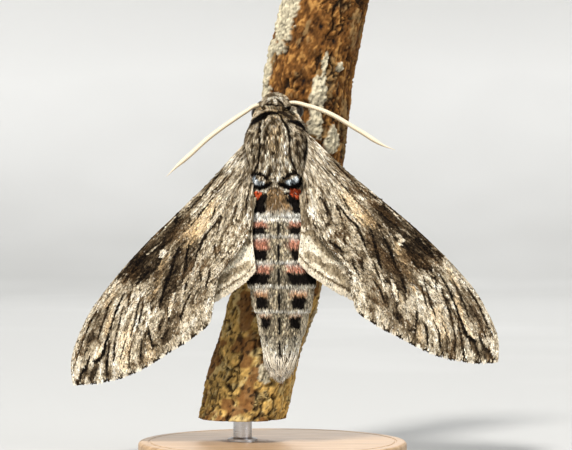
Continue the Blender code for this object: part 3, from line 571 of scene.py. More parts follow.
def patch_share(a, b, centre_a, centre_b, half_a, half_b, turn, soft=0.3):
    """How much of a turned oval covers each place."""
    c, s = cos(radians(turn)), sin(radians(turn))
    along_it = ((a - centre_a) * c + (b - centre_b) * s) / half_a
    across_it = ((b - centre_b) * c - (a - centre_a) * s) / half_b
    return step_down(np.hypot(along_it, across_it), 1 - soft, 1 + soft)


def fine_lines(places, seed, sharpness=5.0):
    """Thin broken lines, where smooth noise passes through zero."""
    line = 1 - np.abs(noise(places, seed)) * sharpness
    return step_up(line, 0.0, 0.8) * step_up(noise(places * 0.6 + 7.3, seed + 1), -0.15, 0.25)


def ragged(share, breakup):
    """Turn the soft edge of a mark into a crisp one that the breakup tears."""
    return step_up(share + breakup, 0.38, 0.62) * step_up(share, 0.0, 0.2)


def tone_colour(tone):
    """The colour of a tone from 0, black, to 1, nearly white."""
    tone = np.clip(tone, 0, 1)
    return rows(*(np.interp(tone, TONE_PLACES, column) for column in zip(*TONE_COLOURS)))


# Meshes

def make_object(name, points, faces, material, tones=None, places=None, rays=None):
    """An object from points in millimetres, with its colours, OFBake places and places among veins."""
    mesh = bpy.data.meshes.new(name)
    mesh.from_pydata(np.asarray(points, float) * MM, [], faces)
    if tones is not None:
        layer = mesh.color_attributes.new(name="Tone", type="FLOAT_COLOR", domain="POINT")
        rgba = rows(*np.clip(tones, 0, 1).T, 1.0)
        layer.data.foreach_set("color", rgba.astype(np.float32).ravel())
    if rays is not None:
        layer = mesh.attributes.new(name="Rays", type="FLOAT_VECTOR", domain="POINT")
        layer.data.foreach_set("vector", rays.astype(np.float32).ravel())
    if places is not None:
        corners = np.zeros(len(mesh.loops), np.int32)
        mesh.loops.foreach_get("vertex_index", corners)
        layer = mesh.uv_layers.new(name="OFBake")
        layer.data.foreach_set("uv", places.astype(np.float32)[corners].ravel())
    mesh.materials.append(material)
    mesh.shade_smooth()
    obj = bpy.data.objects.new(name, mesh)
    LOOKS.objects.link(obj)
    return obj


def settle(obj, slot, *nodes):
    """The piece rides on the model and stands for its nodes; the slot is not used."""
    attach(obj, "root")
    if nodes:
        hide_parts(*nodes)
    return obj


def grid_faces(count, columns, closed=False, start=0):
    """Quads between rows of points, joined round each row where it is closed."""
    row, column = np.meshgrid(np.arange(count - 1), np.arange(columns if closed else columns - 1), indexing="ij")
    a, b = row * columns + column, row * columns + (column + 1) % columns
    return rows(a, b, b + columns, a + columns).reshape(-1, 4) + start


def closed_rings(rings, first, last):
    """Points and faces of a form through rings of points, closed by a point at both ends."""
    sides, ring = len(rings[0]), np.arange(len(rings[0]))
    points = np.concatenate([*rings, [first], [last]])
    after, end = (ring + 1) % sides, len(points) - 1
    caps = np.concatenate([rows(after, ring, end - 1),
                           rows(ring + end - 1 - sides, after + end - 1 - sides, end)])
    return points, grid_faces(len(rings), sides, closed=True).tolist() + caps.tolist()


def capped_tube(path, radii, sides):
    """Points and faces of a round limb along a path."""
    path = np.asarray(path, float)
    tangents = unit(np.gradient(path, axis=0))
    guide = (0.31, 0.27, 0.91) if abs(tangents[0][2]) < 0.8 else (0.93, 0.21, 0.12)
    turns = np.linspace(0, 2 * pi, sides, endpoint=False)
    side = unit(np.cross(tangents[0], guide))
    rings = []
    for place, radius, tangent in zip(path, radii, tangents):
        side = unit(side - tangent * (side @ tangent))
        other = np.cross(tangent, side)
        rings.append(place + radius * (np.outer(np.cos(turns), side) + np.outer(np.sin(turns), other)))
    return closed_rings(rings, path[0], path[-1])


def turned_rings(profile, sides, centre=(0.0, 0.0)):
    """A level ring of points for each (radius, height) row of a profile."""
    turns = np.linspace(0, 2 * pi, sides, endpoint=False)
    return [rows(centre[0] + r * np.cos(turns), centre[1] + r * np.sin(turns), z) for r, z in profile]


def joined(parts):
    """One list of points and faces from several."""
    points, faces, count = [], [], 0
    for some_points, some_faces in parts:
        points.append(some_points)
        faces += [tuple(int(v) + count for v in face) for face in some_faces]
        count += len(some_points)
    return np.concatenate(points), faces


# Locks and vanes: faces, painted shade and light of each point (darker at the root, lighter towards the tip), and its
# place on the OFBake patch of the tuft

BAKE_PATCH = 0.003
# Painted shade and light: each vane and lock is darker at its root, where shade falls between them, and lighter at its
# tip
VANE = {
    "faces": ((0, 2, 1), (0, 1, 3), (1, 2, 3), (2, 0, 3)),
    "pointed": (0.72, 0.72, 1.12, 1.0), "broad": (0.72, 1.08, 1.08, 1.0),
    "patch": ((-0.5, -0.5), (0.5, -0.5), (0.0, 0.5), (0.0, 0.0)),
}
LOCK = {
    "faces": ((0, 1, 2), (0, 3, 4), (0, 4, 1), (1, 4, 5), (1, 5, 2), (2, 5, 3), (2, 3, 0),
              (3, 6, 4), (4, 6, 5), (5, 6, 3)),
    "painted_shade_and_light": (0.55, 0.55, 0.6, 0.95, 0.95, 1.0, 1.15),
    "patch": ((-0.5, -0.5), (0.5, -0.5), (0, -0.4), (-0.4, 0), (0.4, 0), (0, 0.1), (0, 0.5)),
}


def lie_of(normals, aim):
    """The aim laid flat on the surface."""
    return unit(aim - normals * (aim * normals).sum(-1, keepdims=True))


def tufts(corners, faces, painted_shade_and_light, patch_places, tones, places):
    """Points, faces, colours with painted shade at the root and painted light at the tip, and OFBake places of many
    small closed forms.
    """
    points = np.stack(corners, 1).reshape(-1, 3)
    faces = (np.array(faces) + len(corners) * np.arange(len(tones))[:, None, None]).reshape(-1, 3)
    colours = (tones[:, None] * np.array(painted_shade_and_light)[:, None]).reshape(-1, 3)
    places = (places[:, None] + np.array(patch_places) * BAKE_PATCH).reshape(-1, 2)
    return points, faces, colours, places


def vanes(roots, normals, lies, lengths, widths, lifts, tones, places, pointed=True):
    """Thin closed scales of four triangles with a raised middle, pointed or broad at the end."""
    across = unit(np.cross(normals, lies))
    lies = unit(np.cross(across, normals))
    length, width, lift = lengths[:, None], widths[:, None], lifts[:, None]
    root, side = roots - 0.03 * normals, across * width / 2
    end = root + lies * length + normals * lift
    crest = root + lies * length * 0.5 + normals * (lift * 0.5 + 0.3 * width + 0.03)
    corners = [root - side, root + side, end] if pointed else [root, end - side, end + side]
    # Painted shade darkens the vane's root and painted light brightens its end
    painted_shade_and_light = VANE["pointed" if pointed else "broad"]
    return tufts([*corners, crest], VANE["faces"], painted_shade_and_light, VANE["patch"], tones, places)


def locks(roots, normals, lies, lengths, widths, lifts, tones, places):
    """Thin closed locks of ten triangles that rise from the skin and bend back along the coat."""
    across = unit(np.cross(normals, lies))
    lies = unit(np.cross(across, normals))
    length, width, lift = lengths[:, None], widths[:, None], lifts[:, None]
    root = roots - 0.12 * normals
    middle = root + lies * length * 0.5 + normals * (lift * 0.8 + 0.12)
    corners = []
    for centre, size in ((root, width * 0.8), (middle, width)):
        corners += [centre - across * size / 2, centre + across * size / 2, centre + normals * size * 0.45]
    corners.append(root + lies * length + normals * (lift + 0.12))
    # Painted shade darkens the lock's root and painted light brightens its tip
    return tufts(corners, LOCK["faces"], LOCK["painted_shade_and_light"], LOCK["patch"], tones, places)


def coat_object(name, parts, material, slot):
    """One joined piece of coat from several sets of vanes or locks."""
    points, faces, colours, places = zip(*parts)
    starts = np.cumsum([0, *map(len, points[:-1])])
    faces = np.concatenate([some_faces + start for some_faces, start in zip(faces, starts)])
    obj = make_object(name, np.concatenate(points), faces, material,
                      np.concatenate(colours), np.concatenate(places))
    obj.data.shade_flat()
    return settle(obj, slot)


# Materials

class Shader:
    """A node material with a short way to add nodes and link them."""

    def __init__(self, name, roughness, **settings):
        self.material = bpy.data.materials.new(name)
        self.material.use_nodes = True
        self.tree = self.material.node_tree
        self.surface = self.tree.nodes["Principled BSDF"]
        self.surface.inputs["Roughness"].default_value = roughness
        for title, value in settings.items():
            self.surface.inputs[title.replace("_", " ")].default_value = value

    def add(self, kind, inputs=(), **settings):
        node = self.tree.nodes.new("ShaderNode" + kind)
        for title, value in settings.items():
            setattr(node, title, value)
        for title, value in dict(inputs).items():
            if isinstance(value, bpy.types.NodeSocket):
                self.tree.links.new(value, node.inputs[title])
            else:
                node.inputs[title].default_value = value
        return node

    def tone(self):
        return self.add("Attribute", attribute_name="Tone").outputs["Color"]

    def place(self, stretch=(1.0, 1.0, 1.0), attribute=None):
        """Object coordinates, or a stored attribute, stretched along each axis."""
        if attribute:
            start = self.add("Attribute", attribute_name=attribute).outputs["Vector"]
        else:
            start = self.add("TexCoord").outputs["Object"]
        return self.add("Mapping", {"Vector": start, "Scale": stretch}).outputs["Vector"]

    def noise(self, place, scale, detail=3.0, rough=0.6):
        made = self.add("TexNoise", {"Vector": place, "Scale": scale, "Detail": detail, "Roughness": rough})
        return made.outputs["Fac"]

    def scaled(self, value, low, high):
        """Map a value from 0.25..0.75 to low..high."""
        limits = {"From Min": 0.25, "From Max": 0.75, "To Min": low, "To Max": high}
        return self.add("MapRange", {"Value": value, **limits}).outputs["Result"]

    def ramp(self, value, low, high, start=0.0, end=1.0):
        """A colour that goes from low to high as the value goes from start to end."""
        made = self.add("ValToRGB", {"Fac": value})
        for stop, position, colour in zip(made.color_ramp.elements, (start, end), (low, high)):
            stop.position, stop.color = position, (*colour, 1)
        return made.outputs["Color"]

    def product(self, colour, factor):
        """A colour made darker or lighter by a factor."""
        return self.add("VectorMath", {0: colour, 1: factor}, operation="MULTIPLY").outputs["Vector"]

    def link(self, title, value):
        self.tree.links.new(value, self.surface.inputs[title])
        return self

    def bump(self, height, strength, distance):
        made = self.add("Bump", {"Height": height, "Strength": strength, "Distance": distance * MM})
        return self.link("Normal", made.outputs["Normal"])


def grained(name, roughness, grain, shade, relief=None, gloss=None, stretch=(1.0, 1.0, 1.0), **settings):
    """The stored tone, varied by fine noise that may also raise the surface and change its gloss."""
    shader = Shader(name, roughness, **settings)
    fine = shader.noise(shader.place(stretch), *grain)
    shader.link("Base Color", shader.product(shader.tone(), shader.scaled(fine, *shade)))
    if gloss:
        shader.link("Roughness", shader.scaled(fine, *gloss))
    if relief:
        shader.bump(fine, *relief)
    return shader.material


def skin_material(name, grain, stretch, attribute=None):
    """Scaly skin: its stored tone, broken up by fine noise in colour, relief and gloss."""
    shader = Shader(name, 0.8, Specular_IOR_Level=COAT_SHINE)
    place = shader.place(stretch, attribute)
    fine = shader.noise(place, grain, 4.0, 0.7)
    coarse = shader.noise(place, grain * 0.25, 3.0)
    tone = shader.product(shader.tone(), shader.scaled(fine, 0.78, 1.22))
    shader.link("Base Color", shader.product(tone, shader.scaled(coarse, 0.92, 1.08)))
    shader.link("Roughness", shader.scaled(coarse, 0.72, 0.92))
    return shader.bump(fine, 0.6, 0.1).material


def coat_material(name, roughness):
    """Scales and hairs: the stored tone with a slight change from one to the next."""
    return grained(name, roughness, (2500.0, 2.0), (0.88, 1.14),
                   gloss=(roughness - 0.08, roughness + 0.1), Specular_IOR_Level=COAT_SHINE)


# Wings

def wing_axes(side):
    """Along the wing, across it towards the inner edge, and out of its upper face."""
    spread, roof, droop = radians(SPREAD[side]), radians(ROOF_TILT), radians(DROOP)
    level_along = np.array([SIDE[side] * sin(spread), 0.0, -cos(spread)])
    level_across = np.array([-SIDE[side] * cos(spread), 0.0, -sin(spread)])
    back = np.array([0.0, -1.0, 0.0])
    length = cos(droop) * level_along - sin(droop) * back
    lifted = cos(droop) * back + sin(droop) * level_along
    across = cos(roof) * level_across + sin(roof) * lifted
    upper = cos(roof) * lifted - sin(roof) * level_across
    return length, across, upper


def forewing_height(a, b):
    """How far a forewing bows out of its own plane."""
    bow = 0.7 * (1 - ((b - 3.5) / 9.0) ** 2) * step_up(a, 2.0, 20.0)
    return bow - 0.9 * step_up(a, 34.0, 51.0) - step_up(b, 3.0, 9.5) * bump(a, 6.0, 7.0)


def hindwing_height(a, b):
    return forewing_height(a, b) - WING_STACK - 0.8 * step_up(b, 9.0, 14.0)


def patch(kind, s, t):
    """Places of a wing between its four edges, for shares out and across."""
    costa, margin, inner = WINGS[kind]["edges"]
    s, t = np.asarray(s, float)[..., None], np.asarray(t, float)[..., None]
    root_start, root_end, tip, corner = (np.array(p) for p in (costa[0], inner[0], costa[-1], inner[-1]))
    lengthwise = (1 - t) * along(costa, s[..., 0]) + t * along(inner, s[..., 0])
    crosswise = (1 - s) * blend(root_start, root_end, t) + s * along(margin, t[..., 0])
    corners = (1 - s) * (1 - t) * root_start + (1 - s) * t * root_end + s * (1 - t) * tip + s * t * corner
    return lengthwise + crosswise - corners


def width_across(kind, s):
    """Width of a wing at shares out from its root."""
    return np.linalg.norm(patch(kind, s, np.ones_like(s)) - patch(kind, s, np.zeros_like(s)), axis=-1)


def vein_crests(kind, s):
    """Share of the way across a wing at which each vein lies."""
    grow = step_up(s, -0.25, 1.0) ** 0.8
    return [blend(root, out, grow) for root, out, _, _ in WINGS[kind]["veins"]]


def vein_ridges(kind, s, t):
    """How far each place is on a vein, from 0 to 1."""
    width = width_across(kind, s)
    total = np.zeros(np.shape(s))
    for crest, (_, _, begin, end) in zip(vein_crests(kind, s), WINGS[kind]["veins"]):
        fade = step_down(s, end - 0.12, end) if end < 1 else 1.0
        if begin:
            fade = fade * step_up(s, begin - 0.02, begin + 0.04)
        total = np.maximum(total, fade * bump((t - crest) * width, 0.0, RIDGE_WIDTH))
    return total


def fan_places(kind, s, t):
    """Millimetres out along the wing and across it, counted from vein to vein."""
    length, width = WINGS[kind]["size"]
    crests = vein_crests(kind, s)
    edges = [np.zeros_like(s), *crests, np.ones_like(s)]
    across = sum(np.clip((t - low) / (high - low), 0, 1) for low, high in zip(edges, edges[1:]))
    return rows(s * length, across * width / len(crests))


def about_body(stations, points):
    """Places from the body's middle, as shares of its half width and half depth, and the half width."""
    side, depth, half_width, half_depth = station(stations, points[..., 2])
    return (points[..., 0] - side) / half_width, (points[..., 1] - depth) / half_depth, half_width


def over_abdomen(points):
    """Lift places of a wing clear of the abdomen's back, where it lies over it."""
    x, y, z = np.moveaxis(points, -1, 0)
    side, depth, half_width, half_depth = station(ABDOMEN_STATIONS, z)
    room = GAP + half_width * SEGMENT_STEP + MEMBRANE / 2
    across = np.clip((x - side) / (half_width + room), -1, 1)
    surface = depth - (half_depth + room) * np.sqrt(1 - across * across)
    over = (np.abs(across) < 1) & (z > ABDOMEN_STATIONS[-1][0]) & (z < ABDOMEN_STATIONS[0][0] + GAP)
    return rows(x, np.where(over, np.minimum(y, surface - WING_REST), y), z)


def inside_thorax(points):
    """How near each place is to the thorax's outer form: below 1 inside it."""
    z = points[..., 2]
    across, deep, half_width = about_body(THORAX_STATIONS, points)
    angle = np.degrees(np.arctan2(across, -deep))
    reach = np.hypot(across, deep) / (1 + thorax_relief(angle, z) / half_width)
    return np.where((z > THORAX_STATIONS[-1][0] - 0.3) & (z < THORAX_STATIONS[0][0]), reach, 2.0)


def shoulder_dip(points):
    """How far a wing goes back to pass under the hair at the side of the thorax."""
    reach = np.abs(about_body(THORAX_STATIONS, points)[0])
    return WING_DIP * step_down(reach, 0.8, 1.6) * step_up(points[..., 2], 43.5, 46.5)


def wing_surface(kind, side, s, t, face):
    """Points of the upper (1) or lower (-1) skin, with their (along, across) places."""
    wing = WINGS[kind]
    length, across, upper = wing_axes(side)
    centre, reach, left_off = INNER_TRIM[kind]
    t = t * (1 - left_off * bump(s, centre, reach))
    flat = patch(kind, s, t)
    swing = radians(wing["turn"][side])
    a = flat[..., 0] * cos(swing) - flat[..., 1] * sin(swing)
    b = flat[..., 1] * cos(swing) + flat[..., 0] * sin(swing)
    lift = wing["height"](a, b)
    middle = np.array(HINGE[side]) + shaded(length, a) + shaded(across, b) + shaded(upper, lift)
    middle = over_abdomen(middle)
    middle[..., 1] += shoulder_dip(middle)
    middle[..., 1] += WING_SINK * step_down(inside_thorax(middle), 0.90, 1.06)
    ridge = vein_ridges(kind, s, t) * RIDGE_HEIGHT
    rise = SKIN_HALF + ridge if face > 0 else -SKIN_HALF + 0.4 * ridge
    return middle + shaded(upper, rise), flat


def wing_frame(kind, side, s, t, face):
    """Points on the skin with the directions out of it and along it to the margin."""
    step = 0.002
    here, flat = wing_surface(kind, side, s, t, face)
    out = wing_surface(kind, side, s + step, t, face)[0] - here
    over = wing_surface(kind, side, s, t + step, face)[0] - here
    normal = unit(np.cross(out, over))
    upper = wing_axes(side)[2] * face
    normal = normal * np.sign(normal @ upper)[..., None]
    return here, unit(normal + 0.4 * upper), unit(out), flat


def forewing_colour(s, t, seed):
    """Upper forewing: bark-like streaks, dark patches and the black lines between the veins."""
    flat = patch("forewing", s, t)
    a, b = flat[..., 0], flat[..., 1]
    rays = fan_places("forewing", s, t)
    wander_a, wander_b = (fbm(rays * (0.35, 1.1), seed + extra, 3) for extra in (11, 23))
    oval_a, oval_b = a + 0.9 * wander_a, b + 0.30 * wander_b
    line_a, line_b = a + 0.25 * wander_a, b + 0.12 * wander_b
    streak = fbm(rays * (0.30, 2.3), seed + 31, 4)
    hair = noise(rays * (1.0, 4.2), seed + 41)
    tone = 0.68 + 0.23 * streak + 0.26 * hair + 0.08 * fbm(flat * 0.45, seed + 51, 3)
    inner = 1 - 0.45 * step_up(a, 26.0, 36.0)
    for strength, spacing, extra, sharpness in (
            (0.16, (0.25, 1.9), 85, 3.6), (-0.42 * inner, (0.20, 1.5), 81, 4.6), (-0.36 * inner, (0.30, 2.5), 83, 4.0)):
        tone = tone + strength * fine_lines(rays * spacing, seed + extra, sharpness)
    for level, strength, *oval in FORE_PATCHES:
        share = ragged(patch_share(oval_a, oval_b, *oval, soft=0.6), 0.52 * streak + 0.30 * hair) * strength
        tone = blend(tone, level + (0.10 + 0.3 * level) * (streak + 0.7 * hair), share)
    for level, half_width, line in FORE_LINES:
        share = line_share(line_a, line_b, line, half_width * 1.15, 0.1)
        tone = blend(tone, level, np.clip(share * (1.15 + 0.7 * hair), 0, 1))
    tone = tone + 0.16 * noise(rays * (3.6, 8.0), seed + 61)
    colour = tone_colour(tone)
    for strength, *oval in FORE_OCHRE:
        share = ragged(patch_share(oval_a, oval_b, *oval, soft=0.7), 0.5 * streak + 0.4 * hair) * strength
        colour = mix(colour, shaded(OCHRE, 0.35 + tone), share * step_up(tone, 0.2, 0.55))
    brown = step_up(fbm(rays * (0.2, 1.0), seed + 71, 3), -0.1, 0.6) * step_down(tone, 0.35, 0.62)
    return mix(colour, shaded(BROWN, 0.04 + 2.2 * np.clip(tone, 0, 1)), 0.55 * brown)


def hindwing_colour(s, t, seed):
    """Upper hindwing: smooth cream with soft brown-grey bands and a fine line inside the fringe."""
    flat = patch("hindwing", s, t)
    rays = fan_places("hindwing", s, t)
    wander = fbm(rays * (0.4, 0.9), seed + 5, 3)
    hair = noise(rays * (0.8, 5.0), seed + 9)
    streak = fbm(rays * (0.25, 1.8), seed + 15, 3)
    tone = 0.94 + 0.09 * streak + 0.09 * hair - 0.10 * fine_lines(rays * (0.2, 1.3), seed + 17)
    for level, half_width, line in HIND_BANDS:
        near = line_share(flat[..., 0] + 0.3 * wander, flat[..., 1] + 0.3 * wander, line, half_width, 0.8)
        share = ragged(near, 0.35 * streak + 0.25 * hair)
        tone = blend(tone, level + 0.14 * streak + 0.13 * hair, share * 0.85)
    out = s + 0.006 * wander
    tone = blend(tone, 0.22, bump(out, 0.952, 0.012) * 0.85)
    tone = blend(tone, 0.90, step_up(out, 0.966, 0.976))
    return tone_colour(tone) * np.array([1.0, 0.985, 0.95])


def underside_colour(s, t, seed):
    """Under face: plain pale grey-brown with faint bands and darker veins."""
    rays = rows(s * 50.0, t * 14.0)
    streak = fbm(rays * (0.3, 2.0), seed + 3, 3)
    tone = 0.60 + 0.14 * streak + 0.10 * noise(rays * (1.0, 6.0), seed + 7)
    return tone_colour(tone - 0.12 * bump(s, 0.62, 0.03) - 0.10 * bump(s, 0.8, 0.04) - 0.12 * step_up(s, 0.9, 0.98))


WINGS["forewing"].update(height=forewing_height, colour=forewing_colour)
WINGS["hindwing"].update(height=hindwing_height, colour=hindwing_colour)


def face_colour(kind, side, s, t, face):
    """Colour of the upper (1) or lower (-1) face of a wing."""
    return (WINGS[kind]["colour"] if face > 0 else underside_colour)(s, t, WING_SEED[side])


def wing_skin(kind, side, material):
    """Both faces of a wing as fine grids with one rim between them."""
    wing = WINGS[kind]
    columns, across = wing["grid"]
    count = columns * across
    s, t = np.meshgrid(np.linspace(0.0, SKIN_END, columns), np.linspace(0.0, 1.0, across), indexing="ij")
    points = np.concatenate([wing_surface(kind, side, s, t, face)[0].reshape(-1, 3) for face in (1, -1)])
    tones = np.concatenate([face_colour(kind, side, s, t, face).reshape(-1, 3) for face in (1, -1)])
    index = np.arange(count).reshape(columns, across)
    rim = np.concatenate([index[0], index[1:, -1], index[-1, -2::-1], index[-2:0:-1, 0]])
    after = np.roll(rim, -1)
    faces = np.concatenate([grid_faces(columns, across), grid_faces(columns, across, start=count)[:, ::-1],
                            rows(after, rim, rim + count, after + count)])
    rays = rows(s * wing["size"][0], t * wing["size"][1], 0.0).reshape(-1, 3)
    obj = make_object(f"{kind}_{side}_skin", points, faces, material, tones,
                      rays=np.concatenate([rays, rays + (0, 0, 50.0)]))
    if side == "right":
        obj.data.flip_normals()
    return settle(obj, wing["slot"], f"{kind}_{side}")


def spread_over(kind, count, rng):
    """Shares out and across of places spread evenly over a wing."""
    s = rng.uniform(0.02, SKIN_END, count * 3)
    t = rng.uniform(0.004, 0.996, count * 3)
    width = width_across(kind, s)
    kept = rng.uniform(0, width.max() * 1.02, len(s)) < width
    return s[kept][:count], t[kept][:count]


def wing_coat(kind, side, material):
    """Scales over both faces, longer and finer near the root, and the fringe of the outer edge."""
    wing = WINGS[kind]
    rng = np.random.default_rng(WING_SEED[side] + len(kind))
    parts = []
    for face, count in ((1, SCALES_UP[kind]), (-1, SCALES_UNDER[kind])):
        s, t = spread_over(kind, count, rng)
        roots, normals, lies, flat = wing_frame(kind, side, s, t, face)
        free = inside_thorax(roots) > 1.03
        s, t, roots, normals, lies, flat = (values[free] for values in (s, t, roots, normals, lies, flat))
        colour = face_colour(kind, side, s + SHOWN_AHEAD / wing["size"][0], t, face)
        colour = varied(colour, rng, wing["jitter"])
        near_root = step_down(flat[..., 0], 3.0, 13.0)
        lengths = rng.uniform(0.38, 0.58, len(s)) * (1 + near_root)
        widths = rng.uniform(0.14, 0.24, len(s)) * (1 - 0.3 * near_root)
        lifts = rng.uniform(0.02, 0.11, len(s)) * (1 + near_root)
        lies = unit(lies + unit(np.cross(normals, lies)) * rng.normal(0, 0.16, len(s))[:, None])
        places = rows(0.02 + 0.46 * s + (0.5 if face < 0 else 0.0), 0.02 + 0.96 * t)
        each = (roots, normals, lies, lengths, widths, lifts, colour, places)
        for pointed in (True, False):
            chosen = (rng.uniform(size=len(s)) < 0.25 + 0.75 * near_root) == pointed
            parts.append(vanes(*(values[chosen] for values in each), pointed))
    parts.append(fringe(kind, side, rng))
    return coat_object(f"{kind}_{side}_scales", parts, material, wing["slot"])


def fringe(kind, side, rng):
    """Vanes along the outer edge, chequered on the forewing and cream on the hindwing."""
    count = FRINGE_VANES[kind]
    t = rng.uniform(0.0, 1.0, count)
    s = SKIN_END - 0.004 - rng.uniform(0, 0.008, count)
    roots, normals, lies, _ = wing_frame(kind, side, s, t, 1)
    roots = roots - normals * rng.uniform(0.0, 2 * SKIN_HALF, count)[:, None]
    tone = np.full(count, 0.84)
    if kind == "forewing":
        check = np.sin(2 * pi * FRINGE_CHECKS * t + 1.0) + 0.4 * noise(rows(t * 40, 0.0), WING_SEED[side])
        tone = 0.14 + 0.80 * step_up(check, -0.25, 0.35)
    colour = tone_colour(tone) * np.exp(rng.normal(0, 0.12, count))[:, None]
    return vanes(roots, normals, lies, rng.uniform(0.7, 1.0, count), rng.uniform(0.14, 0.22, count),
                 rng.uniform(-0.03, 0.03, count), colour, rows(0.02 + 0.46 * s, 0.02 + 0.96 * t), pointed=False)


def make_wings():
    skin = skin_material("wing_skin_finish", 2.2, (1.0, 5.0, 1.0), "Rays")
    coat = coat_material("wing_scale_finish", 0.72)
    for kind in WINGS:
        for side in SIDE:
            wing_skin(kind, side, skin)
            wing_coat(kind, side, coat)


# Body

def body_angle(points):
    """Angle round the body of each point in degrees: 0 on the back, rising towards +X."""
    both = (about_body(stations, points) for stations in (THORAX_STATIONS, ABDOMEN_STATIONS))
    across, deep, _ = (np.where(points[..., 2] > WAIST, front, rear) for front, rear in zip(*both))
    return np.degrees(np.arctan2(across, -deep))


def thorax_relief(angle, height):
    """Shoulder lobes over the wing roots, the middle tongue and the two rear tufts."""
    turn = np.abs(angle)
    lobe = LOBE_HEIGHT * bump(turn, LOBE_ANGLE, 17.0) * bump(height, 52.6, 4.2)
    tongue = TONGUE_HEIGHT * bump(turn, 0.0, 22.0) * bump(height, 52.0, 5.5)
    tuft = REAR_TUFT_HEIGHT * bump(turn, REAR_TUFT_ANGLE, 14.0) * bump(height, 47.3, 1.2)
    return lobe + tongue + tuft


def segment_relief(height, girth):
    """Each ring of the abdomen swells towards its rear edge, then steps in."""
    total = np.zeros_like(height)
    for top, low in zip(SEGMENT_EDGES, SEGMENT_EDGES[1:]):
        share = (top - height) / (top - low)
        swell = girth * SEGMENT_STEP * (2 * share - 1) * (1 - 1.3 * step_up(share, 0.93, 1.0))
        total = np.where((share >= 0) & (share < 1), swell, total)
    return total


def loft_body(stations, depth_in, heights, relief):
    """A closed body through ellipses at each height, inset by the coat's depth."""
    turns = -np.linspace(0, 2 * pi, SIDES["body"], endpoint=False)
    height = heights[:, None]
    side, depth, half_width, half_depth = station(stations, height)
    lift = relief(turns, height, half_width) - np.minimum(depth_in, 0.5 * half_width)
    rings = rows(side + (half_width + lift) * np.sin(turns), depth - (half_depth + lift) * np.cos(turns), height)
    return closed_rings(rings, rings[0].mean(0), rings[-1].mean(0))


def in_head(points):
    """Points of the head's own axes, placed in the model."""
    turn = np.array(Matrix.Translation(HEAD_CENTRE) @ Matrix.Rotation(radians(-HEAD_TURN), 4, "Y"))
    return np.asarray(points, float) @ turn[:3, :3].T + turn[:3, 3]


def ball(centre, half, columns, levels):
    """Points and faces of an ellipsoid given in the head's own axes."""
    work = bmesh.new()
    bmesh.ops.create_uvsphere(work, u_segments=columns, v_segments=levels, radius=1.0)
    points = np.array([v.co for v in work.verts]) * half + centre
    faces = [[v.index for v in face.verts] for face in work.faces]
    work.free()
    return in_head(points), faces


def eye_centre(side):
    """The head is turned a little to its right, which hides most of the left eye from behind."""
    return (SIDE[side] * EYE_OFFSET[0] + EYE_SHIFT, *EYE_OFFSET[1:])


def body_colour(points):
    """Colour of skin and coat of head, thorax and abdomen."""
    angle = body_angle(points)
    front = points[..., 2:] > FRONT_FROM
    return np.where(front, front_colour(points, angle), abdomen_colour(points, angle))


def back_share(angle):
    """1 on the back and sides of the body, 0 below."""
    return step_down(np.abs(angle), 82.0, 104.0)


def front_colour(points, angle):
    """Head and thorax: grey-brown hair with black lines, cream edges and blue-grey rear tufts."""
    x, y, z = np.moveaxis(points, -1, 0)
    back = back_share(angle)
    streak = fbm(rows(x * 2.0, z * 0.6), 7, 4)
    hair = np.clip(2.0 * noise(rows(x * 3.2, z * 1.7, y * 1.5), 17), -1, 1)
    mottle = fbm(points * 0.9, 27, 3)
    tone = 0.54 + 0.22 * streak + 0.26 * hair + 0.10 * mottle
    for level, strength, *oval in THORAX_PATCHES:
        target = level + (0.04 + 0.48 * level) * (0.7 * streak + hair)
        tone = blend(tone, target, patch_share(x, z, *oval, soft=0.4) * strength * back)
    line_x, line_z = x + 0.04 * hair + 0.05 * streak, z + 0.10 * mottle
    for level, half_width, line in THORAX_LINES:
        share = line_share(line_x, line_z, line, half_width) * (1.15 + 0.25 * hair)
        tone = blend(tone, level, np.clip(share, 0, 1) * back)
    tone = blend(tone, 0.62 + 0.2 * hair, 0.8 * (1 - back))
    collar = 1.3 * between(z, 56.8, 57.6, 59.2, 60.0)
    middle = 0.8 * patch_share(x, z, 0.5, 54.2, 1.1, 2.6, 0, 0.5)
    warm = np.maximum(collar, middle) * step_up(tone, 0.15, 0.5) * back
    warm = warm * (1 - 0.7 * step_up(tone, 0.66, 0.85))
    colour = mix(tone_colour(tone), shaded(OCHRE, 0.2 + 0.9 * tone), 0.6 * warm)
    for half_width, line in BLUE_TUFTS:
        blue = line_share(x, z, line, half_width, 0.25) * back
        colour = mix(colour, shaded(BLUE_GREY, np.exp(1.2 * hair + 0.3)), blue)
    rear = step_down(z, 45.6, 46.4) * step_down(np.abs(angle + 2.0), 15.0, 22.0) * step_up(tone, 0.1, 0.4)
    colour = mix(colour, shaded(HAIR_BROWN, 1 + 0.7 * streak + 0.4 * hair), rear)
    return with_red(colour, x, z, hair, back)


def with_red(colour, x, z, grain, back):
    """Add the red patches where thorax and abdomen meet."""
    for oval in RED_PATCHES:
        share = step_up(patch_share(x, z, *oval) + 0.25 * grain, 0.35, 0.65) * back
        colour = mix(colour, shaded(ORANGE_RED, np.exp(0.7 * grain)), share)
    return colour


def midline(height):
    """How far the middle of the abdomen's back lies to the side."""
    return np.interp(height, *zip(*MIDLINE))


def midline_wave(height):
    """Above about -0.5 where the midline has a dash."""
    return np.sin(height * 2 * pi / 4.0 + 2.2)


